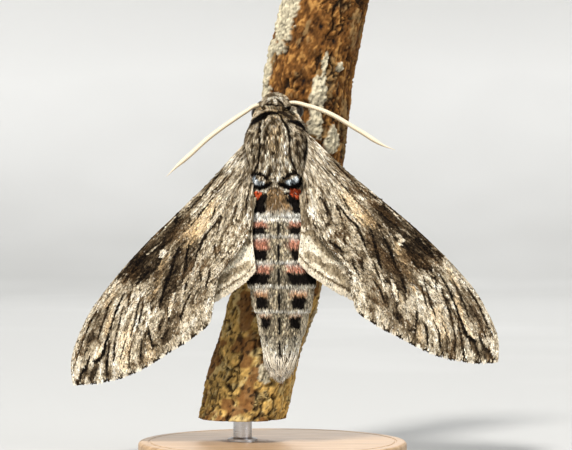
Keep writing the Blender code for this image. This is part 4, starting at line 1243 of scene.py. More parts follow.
def abdomen_colour(points, angle):
    """Abdomen: grey speckled back, pink and black bars beside it, and a pale belly."""
    x, _, z = np.moveaxis(points, -1, 0)
    side, _, half_width, _ = station(ABDOMEN_STATIONS, z)
    turn = angle - np.degrees(np.arcsin(np.clip((midline(z) - side) / half_width, -0.9, 0.9)))
    arc, away = np.radians(turn) * half_width, np.abs(turn)
    speckle = noise(rows(arc * 6.5, z * 3.6), 37)
    streak = fbm(rows(arc * 2.0, z * 0.7), 47, 3)
    torn = z + 0.22 * noise(rows(arc * 3.6, z * 0.6), 57)
    spread = away + 6.0 * noise(rows(arc * 1.2, z * 2.2), 67)
    flank = 0.8 * step_up(spread, 46.0, 62.0) * step_down(torn, 24.0, 31.0)
    colour = shaded(ABDOMEN_GREY, np.exp(1.1 * speckle + 0.5 * streak - 0.1))
    colour = mix(colour, shaded(BELLY, 1 + 0.25 * speckle), step_up(away, 88.0, 112.0))
    colour = mix(colour, shaded(BELLY, 0.9 + 0.15 * streak), flank)
    for top, low, black_top, black_low, start, end, tint in ABDOMEN_BARS:
        paint = between(spread, start - 12.0, start + 3.0, end - 4.0, end + 6.0)
        paint = paint * between(torn, low - 0.2, low + 0.2, top - 0.3, top + 0.2)
        faded = mix(shaded(tint, 1 + 0.2 * speckle), BAND_WHITE, 0.75 * step_up(torn, top - 1.1, top))
        dark = between(spread, start - 7.0, start, end - 4.0, end + 3.0)
        dark = dark * between(torn, black_low - 0.1, black_low + 0.15, black_top - 0.2, black_top + 0.2)
        colour = mix(mix(colour, faded, paint), COAT_BLACK, dark)
    for edge in SEGMENT_EDGES[2:6]:
        colour = mix(colour, BAND_WHITE, 0.75 * bump(torn, edge - 0.05, 0.20) * step_down(away, 90.0, 110.0))
    belt = between(torn, 40.35, 40.75, 41.75, 41.95)
    colour = mix(colour, BAND_WHITE, belt * (0.60 + 0.40 * step_up(spread, 3.0, 12.0)))
    first = step_up(torn, 41.75, 41.95)
    brown = shaded(HAIR_BROWN, 1 + 0.35 * streak + 0.25 * speckle)
    brown = mix(brown, np.array(TIP_CREAM) * 0.8, 0.7 * step_down(torn, 42.0, 42.9))
    dark_from = 17.0 + 8.0 * step_down(z, 42.0, 45.0)
    dark_full = dark_from + 6.0
    colour = mix(colour, brown, first * step_down(spread, dark_from, dark_full))
    colour = mix(colour, COAT_BLACK, first * between(spread, dark_from, dark_full, 92.0, 104.0))
    colour = with_red(colour, x, z, speckle, back_share(angle))
    dash = bump(turn, 0.0, 3.6) * step_up(midline_wave(z), -0.5, 0.2) * between(z, 16.0, 17.0, 40.2, 40.8)
    colour = mix(colour, COAT_BLACK, 0.9 * dash)
    colour = mix(colour, COAT_BLACK, 0.9 * bump(away, 43.0, 6.0) * between(z, 19.9, 20.3, 21.7, 22.1))
    return mix(colour, shaded(TIP_CREAM, np.exp(1.2 * speckle)), 0.9 * step_down(torn, 17.0, 22.6))


def read_rows(values, key):
    """Three numbers of every element, as rows."""
    flat = np.zeros(len(values) * 3)
    values.foreach_get(key, flat)
    return flat.reshape(-1, 3)


def in_scene(name, data):
    """A new object of the scene itself."""
    obj = bpy.data.objects.new(name, data)
    bpy.context.scene.collection.objects.link(obj)
    return obj


def make_body():
    """One skin for head, thorax and abdomen, then their coats of locks and scales."""
    thorax = loft_body(
        THORAX_STATIONS, COAT_DEPTH["thorax"], np.linspace(*SKIN_HEIGHTS["thorax"], RINGS["thorax"]),
        lambda turns, height, _: thorax_relief(np.degrees(np.arctan2(np.sin(turns), np.cos(turns))), height))
    abdomen = loft_body(
        ABDOMEN_STATIONS, COAT_DEPTH["abdomen"], np.linspace(*SKIN_HEIGHTS["abdomen"], RINGS["abdomen"]),
        lambda _, height, girth: segment_relief(height, girth))
    head = ball((0, 0, 0), np.array(HEAD_HALF) - COAT_DEPTH["head"], *HEAD_GRID)
    points, faces = joined([thorax, abdomen, head])
    rough = bpy.data.meshes.new("body_forms")
    rough.from_pydata(points * MM, [], faces)
    guide = in_scene("body_forms", rough)
    melt = guide.modifiers.new("one surface", "REMESH")
    melt.mode = "VOXEL"
    melt.voxel_size = SKIN_VOXEL * MM
    guide.modifiers.new("soft joins", "SMOOTH").iterations = 4
    mesh = bpy.data.meshes.new_from_object(guide.evaluated_get(bpy.context.evaluated_depsgraph_get()))
    bpy.data.objects.remove(guide, do_unlink=True)
    normals = read_rows(mesh.vertex_normals, "vector")
    points = read_rows(mesh.vertices, "co") / MM
    points = points + normals * groove(points)[:, None]
    faces = [tuple(face.vertices) for face in mesh.polygons]
    finish = skin_material("body_skin_finish", 3200.0, (1.6, 1.6, 0.6))
    skin = make_object("moth_skin", points, faces, finish, body_colour(points))
    settle(skin, "thorax_coat", "head", "thorax", "abdomen")
    triangles = [(face[0], *pair) for face in faces for pair in zip(face[1:], face[2:])]
    body_coats(points, normals, np.array(triangles))


def groove(points):
    """The coat sinks along the black lines of the back."""
    x, _, z = np.moveaxis(points, -1, 0)
    depth = np.zeros(len(points))
    for level, half_width, line in THORAX_LINES:
        if level < 0.12:
            depth = np.maximum(depth, line_share(x, z, line, half_width + 0.1, 0.6))
    return -0.28 * depth * step_down(np.abs(body_angle(points)), 80.0, 100.0) * (z > 44.0)


def scatter(points, normals, triangles, region, count, rng):
    """Places and normals spread evenly over the triangles of a region."""
    a, b, c = (points[triangles[:, k]] for k in range(3))
    area = np.linalg.norm(np.cross(b - a, c - a), axis=1) * region
    chosen = rng.choice(len(triangles), count, p=area / area.sum())
    u, v = rng.uniform(size=count), rng.uniform(size=count)
    u, v = np.where(u + v > 1, 1 - u, u), np.where(u + v > 1, 1 - v, v)
    share = rows(1 - u - v, u, v)[..., None]
    corners = triangles[chosen]
    return (points[corners] * share).sum(1), unit((normals[corners] * share).sum(1))


def downward(rng, count, sideways, out):
    """Directions down the body, each turned a little."""
    return rows(rng.normal(0, sideways, count), rng.normal(0, out, count), -1.0)


def body_places(points):
    """Places of the body's coat on a cylinder unrolled round it."""
    return rows(0.5 + body_angle(points) / 364.0, 0.02 + 0.96 * (points[..., 2] - 14.0) / 49.0)


def body_coats(points, normals, triangles):
    """The joined coats of thorax, head and abdomen."""
    rng = np.random.default_rng(BODY_SEED)
    skin, middles = (points, normals, triangles), points[triangles].mean(1)
    near_eye = np.zeros(len(triangles), bool)
    for side in SIDE:
        near_eye |= np.linalg.norm((middles - in_head(eye_centre(side))) / EYE_HALF, axis=1) < 1.0
    thorax, head, abdomen, tail = ((middles[:, 2] > low) & (middles[:, 2] < high) for low, high in COAT_HEIGHTS)
    hair = coat_material("hair_finish", 0.62)
    scale = coat_material("body_scale_finish", 0.7)
    parts = [thorax_coat(skin, thorax & ~near_eye, *kind, rng)
             for kind in ((locks, THORAX_LOCKS, (0.8, 1.5), 0.0), (vanes, THORAX_SCALES, (0.5, 0.95), 0.1))]
    coat_object("thorax_hair", parts, hair, "thorax_coat")
    parts = [head_coat(skin, head & ~near_eye, rng), *(cheek(side, rng) for side in SIDE)]
    coat_object("head_hair", parts, hair, "head_coat")
    parts = [abdomen_coat(skin, abdomen, rng), tail_brush(skin, tail, rng), midline_row(rng)]
    coat_object("abdomen_scales", parts, scale, "abdomen_coat")


def thorax_coat(skin, region, form, count, length_range, extra_lift, rng):
    """Locks or scales of the thorax, longer on the shoulders and the rear tufts."""
    roots, ways = scatter(*skin, region, count, rng)
    angle, (x, _, z) = body_angle(roots), roots.T
    fan = np.where(z < 53.0, 0.08, 0.02) * (x - 0.65)
    ruff = step_up(ways[:, 2], 0.5, 0.9)
    out = unit(roots[:, :2] - HEAD_CENTRE[:2]).T
    aim = downward(rng, count, 0.17, 0.08) + rows(fan + ruff * out[0], ruff * out[1], 0.0)
    short = 1 - 0.40 * step_up(z, 54.5, 57.5) - 0.45 * step_down(z, 48.6, 50.0)
    lengths = rng.uniform(*length_range, count) * short
    tuft = bump(np.abs(angle), REAR_TUFT_ANGLE, 14.0) * bump(z, 47.6, 1.0)
    shoulder = bump(np.abs(angle), 80.0, 28.0) * bump(z, 55.0, 3.2) * np.where(angle > 0, 1.0, 0.35)
    lifts = rng.uniform(0.10, 0.40, count) + 0.30 * tuft + 0.3 * ruff + extra_lift
    lifts = lifts + 0.8 * shoulder * rng.uniform(0.6, 1.0, count)
    lies = lie_of(ways, aim)
    colour = varied(shown_colour(roots, lies, lengths), rng, 0.6)
    return form(roots, ways, lies, lengths, rng.uniform(0.10, 0.17, count), lifts, colour, body_places(roots))


def head_coat(skin, region, rng):
    """Short hair of the head, raised into a crest on the crown."""
    count = HEAD_LOCKS
    roots, ways = scatter(*skin, region, count, rng)
    crown = step_up(roots[:, 2], 60.4, 61.4)
    aim = downward(rng, count, 0.3, 0.25) + rows(0.30 * (roots[:, 0] - 0.5), -0.3 * crown, 1.2 * crown)
    lengths = rng.uniform(0.45, 0.90, count)
    lies = lie_of(ways, aim)
    colour = varied(shown_colour(roots, lies, lengths), rng, 0.65)
    return locks(roots, ways, lies, lengths, rng.uniform(0.10, 0.16, count),
                 rng.uniform(0.10, 0.36, count) + 0.25 * crown, colour, body_places(roots))


def cheek(side, rng):
    """Hair that sweeps from the back of the head down over the rear of the eye."""
    count, sign, cover = CHEEK_LOCKS, SIDE[side], CHEEK_COVER[side]
    reach, drop = rng.uniform(size=count), rng.uniform(size=count)
    x = sign * (1.3 + (0.7 + 0.5 * cover) * reach)
    roots = in_head(rows(x, -1.9 + 0.9 * reach + rng.normal(0, 0.08, count), 1.5 - 2.4 * drop))
    ways = unit(rows(sign * (0.25 + 0.3 * reach), -1.0, 0.1))
    aim = rows(sign * (0.55 + 0.25 * cover) + rng.normal(0, 0.16, count), rng.normal(0, 0.1, count), -0.9)
    lengths = rng.uniform(0.8, 1.5, count)
    tone = 0.42 + 0.2 * np.sin(5 * (reach + drop)) + rng.normal(0, 0.12, count)
    return locks(roots, ways, lie_of(ways, aim), lengths, rng.uniform(0.10, 0.17, count),
                 rng.uniform(0.05, 0.3, count), tone_colour(tone), body_places(roots))


def abdomen_coat(skin, region, rng):
    """Scales of the abdomen, shaggy behind the thorax and near the tail."""
    count = ABDOMEN_SCALES
    roots, ways = scatter(*skin, region, count, rng)
    tail = step_down(roots[:, 2], 16.0, 21.0)
    shaggy = step_up(roots[:, 2], 41.9, 42.4) * step_down(np.abs(body_angle(roots)), 30.0, 40.0)
    lies = lie_of(ways, downward(rng, count, 0.14, 0.14))
    lengths = rng.uniform(0.45, 0.85, count) * (1 + 0.9 * tail + 0.6 * shaggy)
    colour = varied(shown_colour(roots, lies, lengths), rng, 0.55)
    lifts = rng.uniform(0.08, 0.30, count) + 0.35 * tail + 0.2 * shaggy
    return vanes(roots, ways, lies, lengths, rng.uniform(0.14, 0.22, count), lifts, colour, body_places(roots))


def tail_brush(skin, region, rng):
    """Long frayed hair round the end of the abdomen, with a blunt end."""
    count = TAIL_LOCKS
    roots, ways = scatter(*skin, region, count, rng)
    lengths = np.clip(roots[:, 2] - rng.uniform(14.2, 15.0, count), 0.8, 3.6)
    lies = unit(downward(rng, count, 0.12, 0.12) + 0.26 * ways)
    tone = np.where(rng.uniform(size=count) < 0.24, 0.16, rng.normal(0.97, 0.12, count))
    return locks(roots, ways, lies, lengths, rng.uniform(0.14, 0.24, count),
                 rng.uniform(0.05, 0.4, count), tone_colour(tone), body_places(roots))


def midline_row(rng):
    """A broken row of dark scales down the middle of the abdomen's back."""
    z = rng.uniform(16.8, 40.4, MIDLINE_SCALES)
    z = z[midline_wave(z) > -0.5]
    count = len(z)
    side, depth, half_width, half_depth = station(ABDOMEN_STATIONS, z)
    x = midline(z) + rng.normal(0, 0.06, count)
    across = (x - side) / half_width
    back = np.sqrt(1 - across ** 2)
    roots = rows(x, depth - (half_depth - 0.08) * back, z)
    ways = unit(rows(across / half_width, -back / half_depth, 0.0))
    lies = lie_of(ways, rows(rng.normal(0, 0.05, count), 0.0, -1.0))
    return vanes(roots, ways, lies, rng.uniform(0.4, 0.7, count), rng.uniform(0.07, 0.11, count),
                 rng.uniform(0.02, 0.10, count), np.tile(COAT_BLACK, (count, 1)), body_places(roots))


def shown_colour(roots, lies, lengths):
    """The mark under the part of each lock that shows."""
    return body_colour(roots + lies * lengths[:, None] * 0.6)


def varied(colour, rng, amount):
    """Each lock a little lighter or darker than the mark that it stands on, and a few dark or pale; the pale ones are
    partly painted glints.
    """
    change = np.clip(rng.normal(0.0, amount, len(colour)), -2.2 * amount, 1.1 * amount)
    colour = colour * np.exp(change - 0.4 * amount ** 2)[:, None]
    odd = rng.uniform(size=len(colour))
    bright = step_up(colour.mean(-1), 0.03, 0.15)
    # Pale locks: partly pale hairs and partly painted glints of hairs that catch the light
    colour = mix(colour, (0.78, 0.72, 0.60), 0.6 * bright * (odd > 1 - 0.08 * amount))
    return mix(colour, (0.016, 0.010, 0.006), 0.9 * bright * (odd < 0.22 * amount))


# Eyes, antennae, palps and tongue

def make_eyes():
    """Dark glossy compound eyes with fine facets."""
    shader = Shader("eye_finish", 0.25, Specular_IOR_Level=0.2)
    mottle = shader.noise(shader.place(), 900.0)
    cells = shader.add("TexVoronoi", {"Vector": shader.place(), "Scale": 9000.0}, feature="F1")
    shader.link("Base Color", shader.ramp(mottle, (0.004, 0.003, 0.002), (0.03, 0.018, 0.010)))
    shader.bump(cells.outputs["Distance"], 0.35, 0.02)
    for side in SIDE:
        eye = make_object(f"eye_{side}_globe", *ball(eye_centre(side), EYE_HALF, *EYE_GRID), shader.material)
        settle(eye, "eye", f"eye_{side}")


def make_antennae():
    """Ribbed feelers, cream above and browner below as painted shadow, drawn out to a hooked point."""
    finish = grained("antenna_finish", 0.6, (3500.0,), (0.88, 1.12), relief=(0.4, 0.04), Specular_IOR_Level=0.3)
    shares, sides = np.linspace(0, 1, RINGS["antenna"]), SIDES["antenna"]
    ring_of = [*np.repeat(np.arange(len(shares)), sides), 0, len(shares) - 1]
    for side, key in ANTENNAE.items():
        path = along(key, shares)
        swell = 0.84 + 0.22 * step_up(shares, 0.0, 0.3) - 0.94 * step_up(shares, 0.78, 1.0)
        rib = np.abs(np.sin(pi * shares * distances(path)[-1] / 0.30))
        points, faces = capped_tube(path, ANTENNA_THICKNESS / 2 * swell * (0.90 + 0.12 * rib), sides)
        # Painted shadow: the side turned away from the light above is coloured browner
        above = unit(points - path[ring_of]) @ unit(np.array([0.0, -0.45, 0.9]))
        tones = mix(*FEELER_SHADED_AND_LIT_COLOURS, step_up(above, -0.6, 0.5))
        tones = tones * (0.62 + 0.42 * rib[ring_of])[:, None]
        settle(make_object(f"antenna_{side}_ribbed", points, faces, finish, tones), "antenna", f"antenna_{side}")


def limb_coat(path, radii, count, rng, tone_at, lengths, widths, lifts, corner):
    """Short scales laid along a limb towards its end; their places start at a corner of OFBake."""
    share = rng.uniform(0, 1, count)
    steps = np.linspace(0, 1, len(path))
    here, ahead, behind = (rows(*(np.interp(at, steps, column) for column in path.T))
                           for at in (share, np.minimum(share + 0.02, 1), np.maximum(share - 0.02, 0)))
    run = unit(ahead - behind)
    out = lie_of(run, unit(rng.normal(size=(count, 3))))
    roots = here + out * np.interp(share, steps, radii)[:, None] * 0.96
    turn = np.arctan2(out[:, 0], out[:, 1]) / (2 * pi) + 0.5
    places = rows(corner[0] + 0.14 * turn, corner[1] + 0.44 * share)
    spread = run + 0.15 * rng.normal(size=(count, 3))
    return vanes(roots, out, lie_of(out, spread), rng.uniform(*lengths, count), rng.uniform(*widths, count),
                 rng.uniform(*lifts, count), tone_at(share, out), places)


def make_palps(rng):
    """Palps with short pale hair."""
    finish = coat_material("palp_finish", 0.75)
    shares, parts = np.linspace(0, 1, RINGS["palp"]), []
    girth = smooth_at(range(len(PALP_RADII)), PALP_RADII, 3 * shares) - 0.1

    def pale(share, out):
        return tone_colour(0.66 + 0.096 * rng.normal(size=len(share)) - 0.25 * (out[:, 1] < -0.3))

    for index, (side, sign) in enumerate(SIDE.items()):
        path = along(in_head([(sign * x, y, z) for x, y, z in PALP_POINTS]), shares)
        points, faces = capped_tube(path, girth, SIDES["palp"])
        tones = tone_colour(0.62 + 0.12 * noise(points * 2.5, 71))
        settle(make_object(f"palp_{side}_skin", points, faces, finish, tones), "palp_coat", f"palp_{side}")
        parts.append(limb_coat(path, girth, PALP_SCALES, rng, pale, (0.35, 0.6), (0.08, 0.12), (0.04, 0.14),
                               (0.05 + 0.2 * index, 0.05)))
    coat_object("palp_hair", parts, finish, "palp_coat")


def make_tongue():
    """The long tongue, rolled up under the head."""
    finish = grained("tongue_finish", 0.42, (2600.0,), (0.8, 1.2), relief=(0.3, 0.03))
    turns = np.linspace(0.0, COIL_TURNS, RINGS["tongue"])
    reach = COIL_INNER + COIL_PITCH * turns
    angle = 2 * pi * (turns - COIL_TURNS) - pi / 2
    x, y, z = TONGUE_COIL_CENTRE
    path = in_head(rows(x, y + reach * np.sin(angle), z + reach * np.cos(angle)))
    ring = 0.94 + 0.08 * np.abs(np.sin(np.linspace(0, pi * 60, len(turns))))
    radii = np.linspace(0.75, 1.0, len(turns)) * COIL_THICKNESS / 2 * ring
    points, faces = capped_tube(path, radii, SIDES["tongue"])
    tones = shaded(TONGUE_BROWN, 1 + 0.3 * noise(points * 3.0, 73))
    settle(make_object("proboscis_coil", points, faces, finish, tones), "tongue", "proboscis")


# Perch

def perch_middle(height):
    """How far the middle of the branch lies to the side."""
    return smooth_at(*zip(*PERCH_LINE), height)


def bark_point(angle, height, lift):
    """Points of the bark; angle 0 faces the moth and turns towards +X."""
    wander = np.sin(3 * angle + 0.11 * height) + 0.7 * np.sin(5 * angle - 0.23 * height + 1.0)
    wander = wander + 0.6 * np.sin(2 * angle + 0.31 * height + 2.0)
    reach = PERCH_RADIUS + BARK_RELIEF * wander + lift
    return rows(perch_middle(height) + reach * np.sin(angle), -reach * np.cos(angle), height)


def lichen_share(angle, height, place):
    """How much of each place of the bark is covered by lichen."""
    edge = 0.35 * fbm(place * 0.7, 103, 3) + 0.12 * fbm(place * 2.5, 105, 2)
    total = 0.0
    for centre, middle, half_turn, half_height in LICHENS:
        away = (np.degrees(angle) - centre + 180.0) % 360.0 - 180.0
        reach = np.hypot(away / half_turn, (height - middle) / half_height) + edge
        total = np.maximum(total, step_down(reach, 0.86, 1.0))
    return total


def bark_detail(angle, height):
    """How far the bark stands out and its colour, from its cracks, plates and lichen."""
    place = rows(np.cos(angle) * PERCH_RADIUS, np.sin(angle) * PERCH_RADIUS, height)
    warp = place + 0.9 * rows(*(fbm(place * 0.45, seed, 3) for seed in (81, 83, 85)))
    plates = fbm(warp * (0.45, 0.45, 0.22), 87, 4)
    flakes = fbm(warp * (1.3, 1.3, 0.8), 91, 4)
    fine = fbm(place * (3.2, 3.2, 2.0), 93, 3)
    long_cracks = step_up(1 - np.abs(fbm(warp * (0.36, 0.36, 0.11), 89, 3)) * 3.4, 0.5, 0.9)
    cross_cracks = step_up(1 - np.abs(fbm(warp * (0.2, 0.2, 0.4), 90, 3)) * 7.0, 0.5, 0.9)
    crack = step_up(fbm(place * 0.3, 92, 2), -0.25, 0.15) * np.maximum(long_cracks, 0.8 * cross_cracks)
    red = shaded((0.122, 0.050, 0.012), 1 + 0.9 * flakes + 0.7 * fine)
    tan = shaded((0.42, 0.265, 0.080), 1 + 0.6 * flakes + 0.6 * fine)
    for tint, strength, mark, low, high in (
            ((0.36, 0.185, 0.052), 0.85, flakes + 0.4 * fine, 0.25, 0.6),
            ((0.24, 0.160, 0.070), 0.60, plates + 0.3 * fine, 0.35, 0.6)):
        red = mix(red, tint, step_up(mark, low, high) * strength)
    for tint, strength, mark, low, high in (
            ((0.52, 0.40, 0.18), 0.75, fbm(place * 0.7, 97, 3) + 0.4 * fine, 0.1, 0.4),
            ((0.17, 0.070, 0.022), 0.85, fbm(place * 0.3, 98, 3), 0.15, 0.4),
            ((0.030, 0.018, 0.010), 0.85, noise(place * (1.9, 1.9, 1.6), 99) + 0.5 * fine, 0.30, 0.55)):
        tan = mix(tan, tint, step_up(mark, low, high) * strength)
    lower = step_down(height + 3.0 * fbm(place * 0.25, 95, 2), 30.0, 44.0)
    lichen = lichen_share(angle, height, place)
    crust = shaded((0.42, 0.37, 0.26), 1 + 0.6 * fine + 0.6 * noise(place * 3.5, 101))
    colour = mix(np.clip(mix(red, tan, lower), 0.004, 1), np.clip(crust, 0.01, 1), lichen)
    # Cracks painted nearly black: partly the dark inside of the bark and partly painted shade in the cracks
    colour = mix(colour, (0.016, 0.009, 0.005), crack * (1 - 0.6 * lichen) * 0.95)
    lift = 0.22 * plates + 0.20 * flakes + 0.10 * fine - 0.55 * crack
    return lift * (1 - 0.5 * lichen) + lichen * (0.35 + 0.25 * fine + 0.15 * flakes), colour


def cut_wood(rim, centre):
    """Rings of a sawn end from its rim to its centre, with their colours."""
    rings, colours = [], []
    for share in CUT_RINGS:
        ring = centre + (rim - centre) * share
        ring[:, 2] = centre[2]
        grain = 0.5 + 0.5 * np.sin(share * 60 + fbm(ring * 0.6, 107, 2) * 3)
        inside = share < CUT_RINGS[0]
        rings.append(ring)
        colours.append(shaded(CUT_COLOUR, 0.75 + 0.4 * grain) if inside else np.tile(CUT_RIM_COLOUR, (len(rim), 1)))
    return rings, colours


def make_perch():
    """The branch, with bark all round and sawn ends."""
    turns = -np.linspace(0, 2 * pi, BARK_COLUMNS, endpoint=False)
    angle, height = np.meshgrid(turns, np.linspace(PERCH_TOP, PERCH_FOOT, BARK_ROWS))
    lift, tones = bark_detail(angle, height)
    bark = bark_point(angle, height, lift)
    ends = [np.array([perch_middle(level), 0.0, level]) for level in (PERCH_TOP, PERCH_FOOT)]
    top, top_tones = cut_wood(bark[0], ends[0])
    foot, foot_tones = cut_wood(bark[-1], ends[1])
    points, faces = closed_rings([*top[::-1], *bark, *foot], *ends)
    tones = np.concatenate([*top_tones[::-1], *tones, *foot_tones, [CUT_HEART_COLOUR] * 2])
    finish = grained("bark_finish", 0.88, (1400.0, 6.0, 0.7), (0.6, 1.4), relief=(0.9, 0.18), gloss=(0.8, 0.98),
                     stretch=(1.0, 1.0, 0.5), Specular_IOR_Level=0.1)
    settle(make_object("perch_bark", points, faces, finish, tones), "bark", "perch")


# Legs

def leg_line(name):
    """Path and girth of a leg, as in the part's source, and the shares along it of knee and ankle."""
    side, root_height, knee, ankle, toe = LEGS[name]
    x, y, _, half_depth = station(THORAX_STATIONS, root_height)
    root = np.array([x + SIDE[side] * LEG_ROOT_SIDE, y + half_depth - 1.2, root_height])
    knee, foot = np.array(knee), []
    for share in (0.0, 0.5, 1.0):
        angle, height = blend(np.array(ankle), np.array(toe), share)
        foot.append(bark_point(radians(angle), height, GAP + 0.1 + blend(ANKLE_RADIUS, TOE_RADIUS, share)))
    key = [root, (root + knee) / 2, knee, (knee + foot[0]) / 2, *foot]
    girth = (COXA_RADIUS, THIGH_RADIUS, KNEE_RADIUS, SHIN_RADIUS, ANKLE_RADIUS, (ANKLE_RADIUS + TOE_RADIUS) / 2,
             TOE_RADIUS)
    places = distances(key)
    wanted = np.linspace(0, places[-1], RINGS["leg"])
    return smooth_at(places, key, wanted), smooth_at(places, girth, wanted), places[[2, 4]] / places[-1]


def foot_wave(share, ankle):
    """A wave with five crests along the foot."""
    return np.cos((share - ankle) * 2 * pi * 5 / (1 - ankle))


def spike(points, radius):
    """A pointed tube along a curved line."""
    count = RINGS["claw"]
    return capped_tube(along(points, np.linspace(0, 1, count)), np.linspace(radius, 0.02, count), SIDES["claw"])


def make_legs(rng):
    """Ringed legs with their scales, and the claws and spurs."""
    finish = coat_material("leg_finish", 0.75)
    claw_finish = grained("claw_finish", 0.35, (2000.0,), (0.8, 1.2))
    for index, name in enumerate(LEGS):
        path, girth, (knee, ankle) = leg_line(name)
        share = np.linspace(0, 1, len(path))
        radii = (girth - 0.08) * (1 - 0.10 * bump(share, knee, 0.02))
        radii = radii + 0.048 * foot_wave(share, ankle) * (share > ankle)
        points, faces = capped_tube(path, radii, SIDES["leg"])
        tones = tone_colour(0.42 + 0.10 * noise(points * 2.0, 111 + index))
        settle(make_object(f"{name}_skin", points, faces, finish, tones), "leg_scales", name)

        def ringed(share, out, ankle=ankle):
            bands = np.where(share > ankle, 0.30 + 0.45 * (foot_wave(share, ankle) > 0.35), 0.50)
            return tone_colour(bands + 0.08 * rng.normal(size=len(share)))

        coat = limb_coat(path, radii, LEG_SCALES, rng, ringed, (0.35, 0.75), (0.09, 0.14), (0.03, 0.16),
                         (0.02 + 0.16 * index, 0.02))
        coat_object(f"{name}_scales", [coat], finish, "leg_scales")
        end, ankle_row = path[-1], np.searchsorted(share, ankle)
        heading, shin_end = unit(end - path[-6]), path[ankle_row - 3]
        out, run = unit(end * (1, 1, 0) - (perch_middle(end[2]), 0, 0)), unit(path[ankle_row] - shin_end)
        spikes = []
        for across in (-np.cross(heading, out), np.cross(heading, out)):
            spikes.append(spike([end - heading * 0.1, end + heading * 0.25 + across * 0.18 + out * 0.05,
                                 end + heading * 0.5 + across * 0.3 - out * 0.18], 0.09))
            spikes.append(spike([shin_end, shin_end + run * 0.6 + across * 0.4,
                                 shin_end + run * 1.15 + across * 0.62], 0.12))
        points, faces = joined(spikes)
        tones = np.tile(CLAW_BROWN, (len(points), 1))
        settle(make_object(f"{name}_claws", points, faces, claw_finish, tones), "leg_scales")


# Stand

def turned(name, centre, profile, sides, material, slot, node):
    """A closed turned piece from a profile of (radius, height) rows, bottom to top."""
    points = np.concatenate(turned_rings(profile, sides, centre))
    faces = grid_faces(len(profile), sides, closed=True).tolist()
    faces += [tuple(range(sides))[::-1], tuple(range(len(points) - sides, len(points)))]
    obj = make_object(name, points, faces, material)
    obj.data.set_sharp_from_angle(angle=radians(35))
    settle(obj, slot, node)


def arc_rows(radius, height, rounding, start, end, steps=7):
    """Profile rows round a rounded edge."""
    return [(radius - rounding + rounding * cos(turn), height + rounding * sin(turn))
            for turn in np.radians(np.linspace(start, end, steps))]


def make_stand():
    """A plain round wooden base with one steel rod in a collar."""
    wood = Shader("stand_wood_finish", 0.42)
    grain = wood.noise(wood.place((1.0, 14.0, 14.0)), 60.0, 6.0, 0.65)
    pores = wood.noise(wood.place((1.0, 30.0, 30.0)), 220.0, 2.0)
    tint = wood.ramp(grain, (0.30, 0.175, 0.085), (0.56, 0.38, 0.215), 0.3, 0.72)
    wood.link("Base Color", wood.product(tint, wood.scaled(pores, 0.85, 1.08)))
    wood.link("Roughness", wood.scaled(pores, 0.36, 0.55)).bump(pores, 0.15, 0.05)
    edge = BASE_ROUNDING
    profile = [(BASE_RADIUS - 1.2, 0.0), *arc_rows(BASE_RADIUS, edge, edge, -90, 0),
               *arc_rows(BASE_RADIUS, BASE_THICKNESS - edge, edge, 0, 90)]
    profile += [(BASE_RADIUS - inwards, BASE_THICKNESS - sunk)
                for inwards, sunk in ((1.6, 0.0), (1.75, 0.12), (2.0, 0.12), (2.15, 0.0))]
    turned("stand_base_turned", (0, 0), profile, SIDES["base"], wood.material, "stand_wood", "stand_base")

    steel = Shader("stand_steel_finish", 0.3, Metallic=1.0)
    brushed = steel.noise(steel.place((1.0, 1.0, 25.0)), 400.0, 3.0)
    steel.link("Base Color", steel.ramp(brushed, (0.42, 0.42, 0.43), (0.68, 0.68, 0.69)))
    steel.link("Roughness", steel.scaled(brushed, 0.22, 0.4)).bump(brushed, 0.08, 0.02)
    profile = [(ROD_RADIUS + outwards, BASE_THICKNESS - 0.1 + up)
               for outwards, up in ((1.0, 0.0), (1.0, 0.5), (0.9, 0.5), (0.45, 0.65), (0.0, 0.8))]
    turned("stand_rod_brushed", (perch_middle(PERCH_FOOT), 0.0), [*profile, (ROD_RADIUS, PERCH_FOOT + 0.2)],
           SIDES["rod"], steel.material, "stand_steel", "stand_rod")


# Floor, light and camera

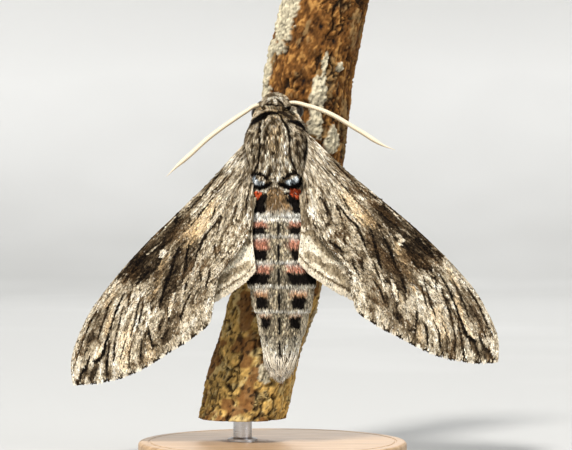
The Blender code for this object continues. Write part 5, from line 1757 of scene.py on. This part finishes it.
def make_stage():
    """A pale floor that sweeps up into a pale wall all round, greyer on the floor and paler up the wall as painted
    shade and light that even out the lamps.
    """
    radius, bend, wall, level, sides = 1400.0, 500.0, 1500.0, -0.05, SIDES["floor"]
    profile = [(1.0, level), (200.0, level), (radius - bend, level),
               *arc_rows(radius, bend, bend, -80, 0, steps=9), (radius, wall)]
    points = np.concatenate([*turned_rings(profile, sides), [(0.0, 0.0, level)]])
    faces = grid_faces(len(profile), sides, closed=True)[:, ::-1].tolist()
    faces += [((k + 1) % sides, len(points) - 1, k) for k in range(sides)]
    shader = Shader("stage_painted_light", 0.9)
    height = shader.add("SeparateXYZ", {"Vector": shader.place()}).outputs["Z"]
    cloud = shader.scaled(shader.noise(shader.place(), 3.0), -0.03, 0.03)
    painted_light_height = shader.add("Math", {0: height, 1: cloud}, operation="ADD").outputs["Value"]
    # Painted shade and light: darker grey on the floor, which the lamps light more, and paler up the wall, which they
    # light less
    shader.link("Base Color", shader.ramp(painted_light_height, (0.44, 0.44, 0.43), (0.80, 0.80, 0.79), 0.0, 0.15))
    mesh = bpy.data.meshes.new("floor")
    mesh.from_pydata(points * MM, [], faces)
    mesh.materials.append(shader.material)
    mesh.shade_smooth()
    floor = in_scene("floor", mesh)


def area_light(name, place, size, power, colour):
    """A round soft lamp that looks at the middle of the moth."""
    lamp = bpy.data.lights.new(name, "AREA")
    lamp.shape, lamp.size, lamp.energy, lamp.color = "DISK", size, power, colour
    obj = in_scene(name, lamp)
    obj.location = place
    obj.rotation_euler = (Vector(LIGHT_AIM) - Vector(place)).to_track_quat("-Z", "Y").to_euler()


def make_light():
    """Three soft lamps and an even sky."""
    area_light("key_light", (-0.35, -0.75, 0.85), 0.26, 19.0, (1.0, 0.975, 0.94))
    area_light("fill_light", (0.80, -0.55, 0.35), 0.50, 3.0, (0.95, 0.975, 1.0))
    area_light("back_light", (0.10, 0.85, 0.75), 0.50, 6.0, (1.0, 1.0, 1.0))
    world = bpy.data.worlds.new("studio")
    world.use_nodes = True
    sky = world.node_tree.nodes["Background"].inputs
    sky["Color"].default_value = (0.93, 0.96, 1.0, 1)
    sky["Strength"].default_value = 0.40
    bpy.context.scene.world = world
    bpy.context.scene.view_settings.view_transform = "Standard"


def make_camera():
    """The photograph's view."""
    lens = bpy.data.cameras.new("camera")
    lens.lens, lens.sensor_width = CAMERA_LENS, SENSOR_WIDTH
    lens.clip_start, lens.clip_end = 0.01, 20.0
    camera = in_scene("camera", lens)
    camera.location = Vector(CAMERA_PLACE) * MM
    camera.rotation_euler = (radians(90), 0.0, 0.0)
    bpy.context.scene.camera = camera


LOOKS = bpy.data.collections.new("looks")
bpy.context.scene.collection.children.link(LOOKS)
make_camera()
make_light()
make_stage()
make_stand()
make_perch()
make_body()
make_eyes()
make_antennae()
make_palps(np.random.default_rng(PALP_SEED))
make_tongue()
make_legs(np.random.default_rng(LEG_SEED))
make_wings()
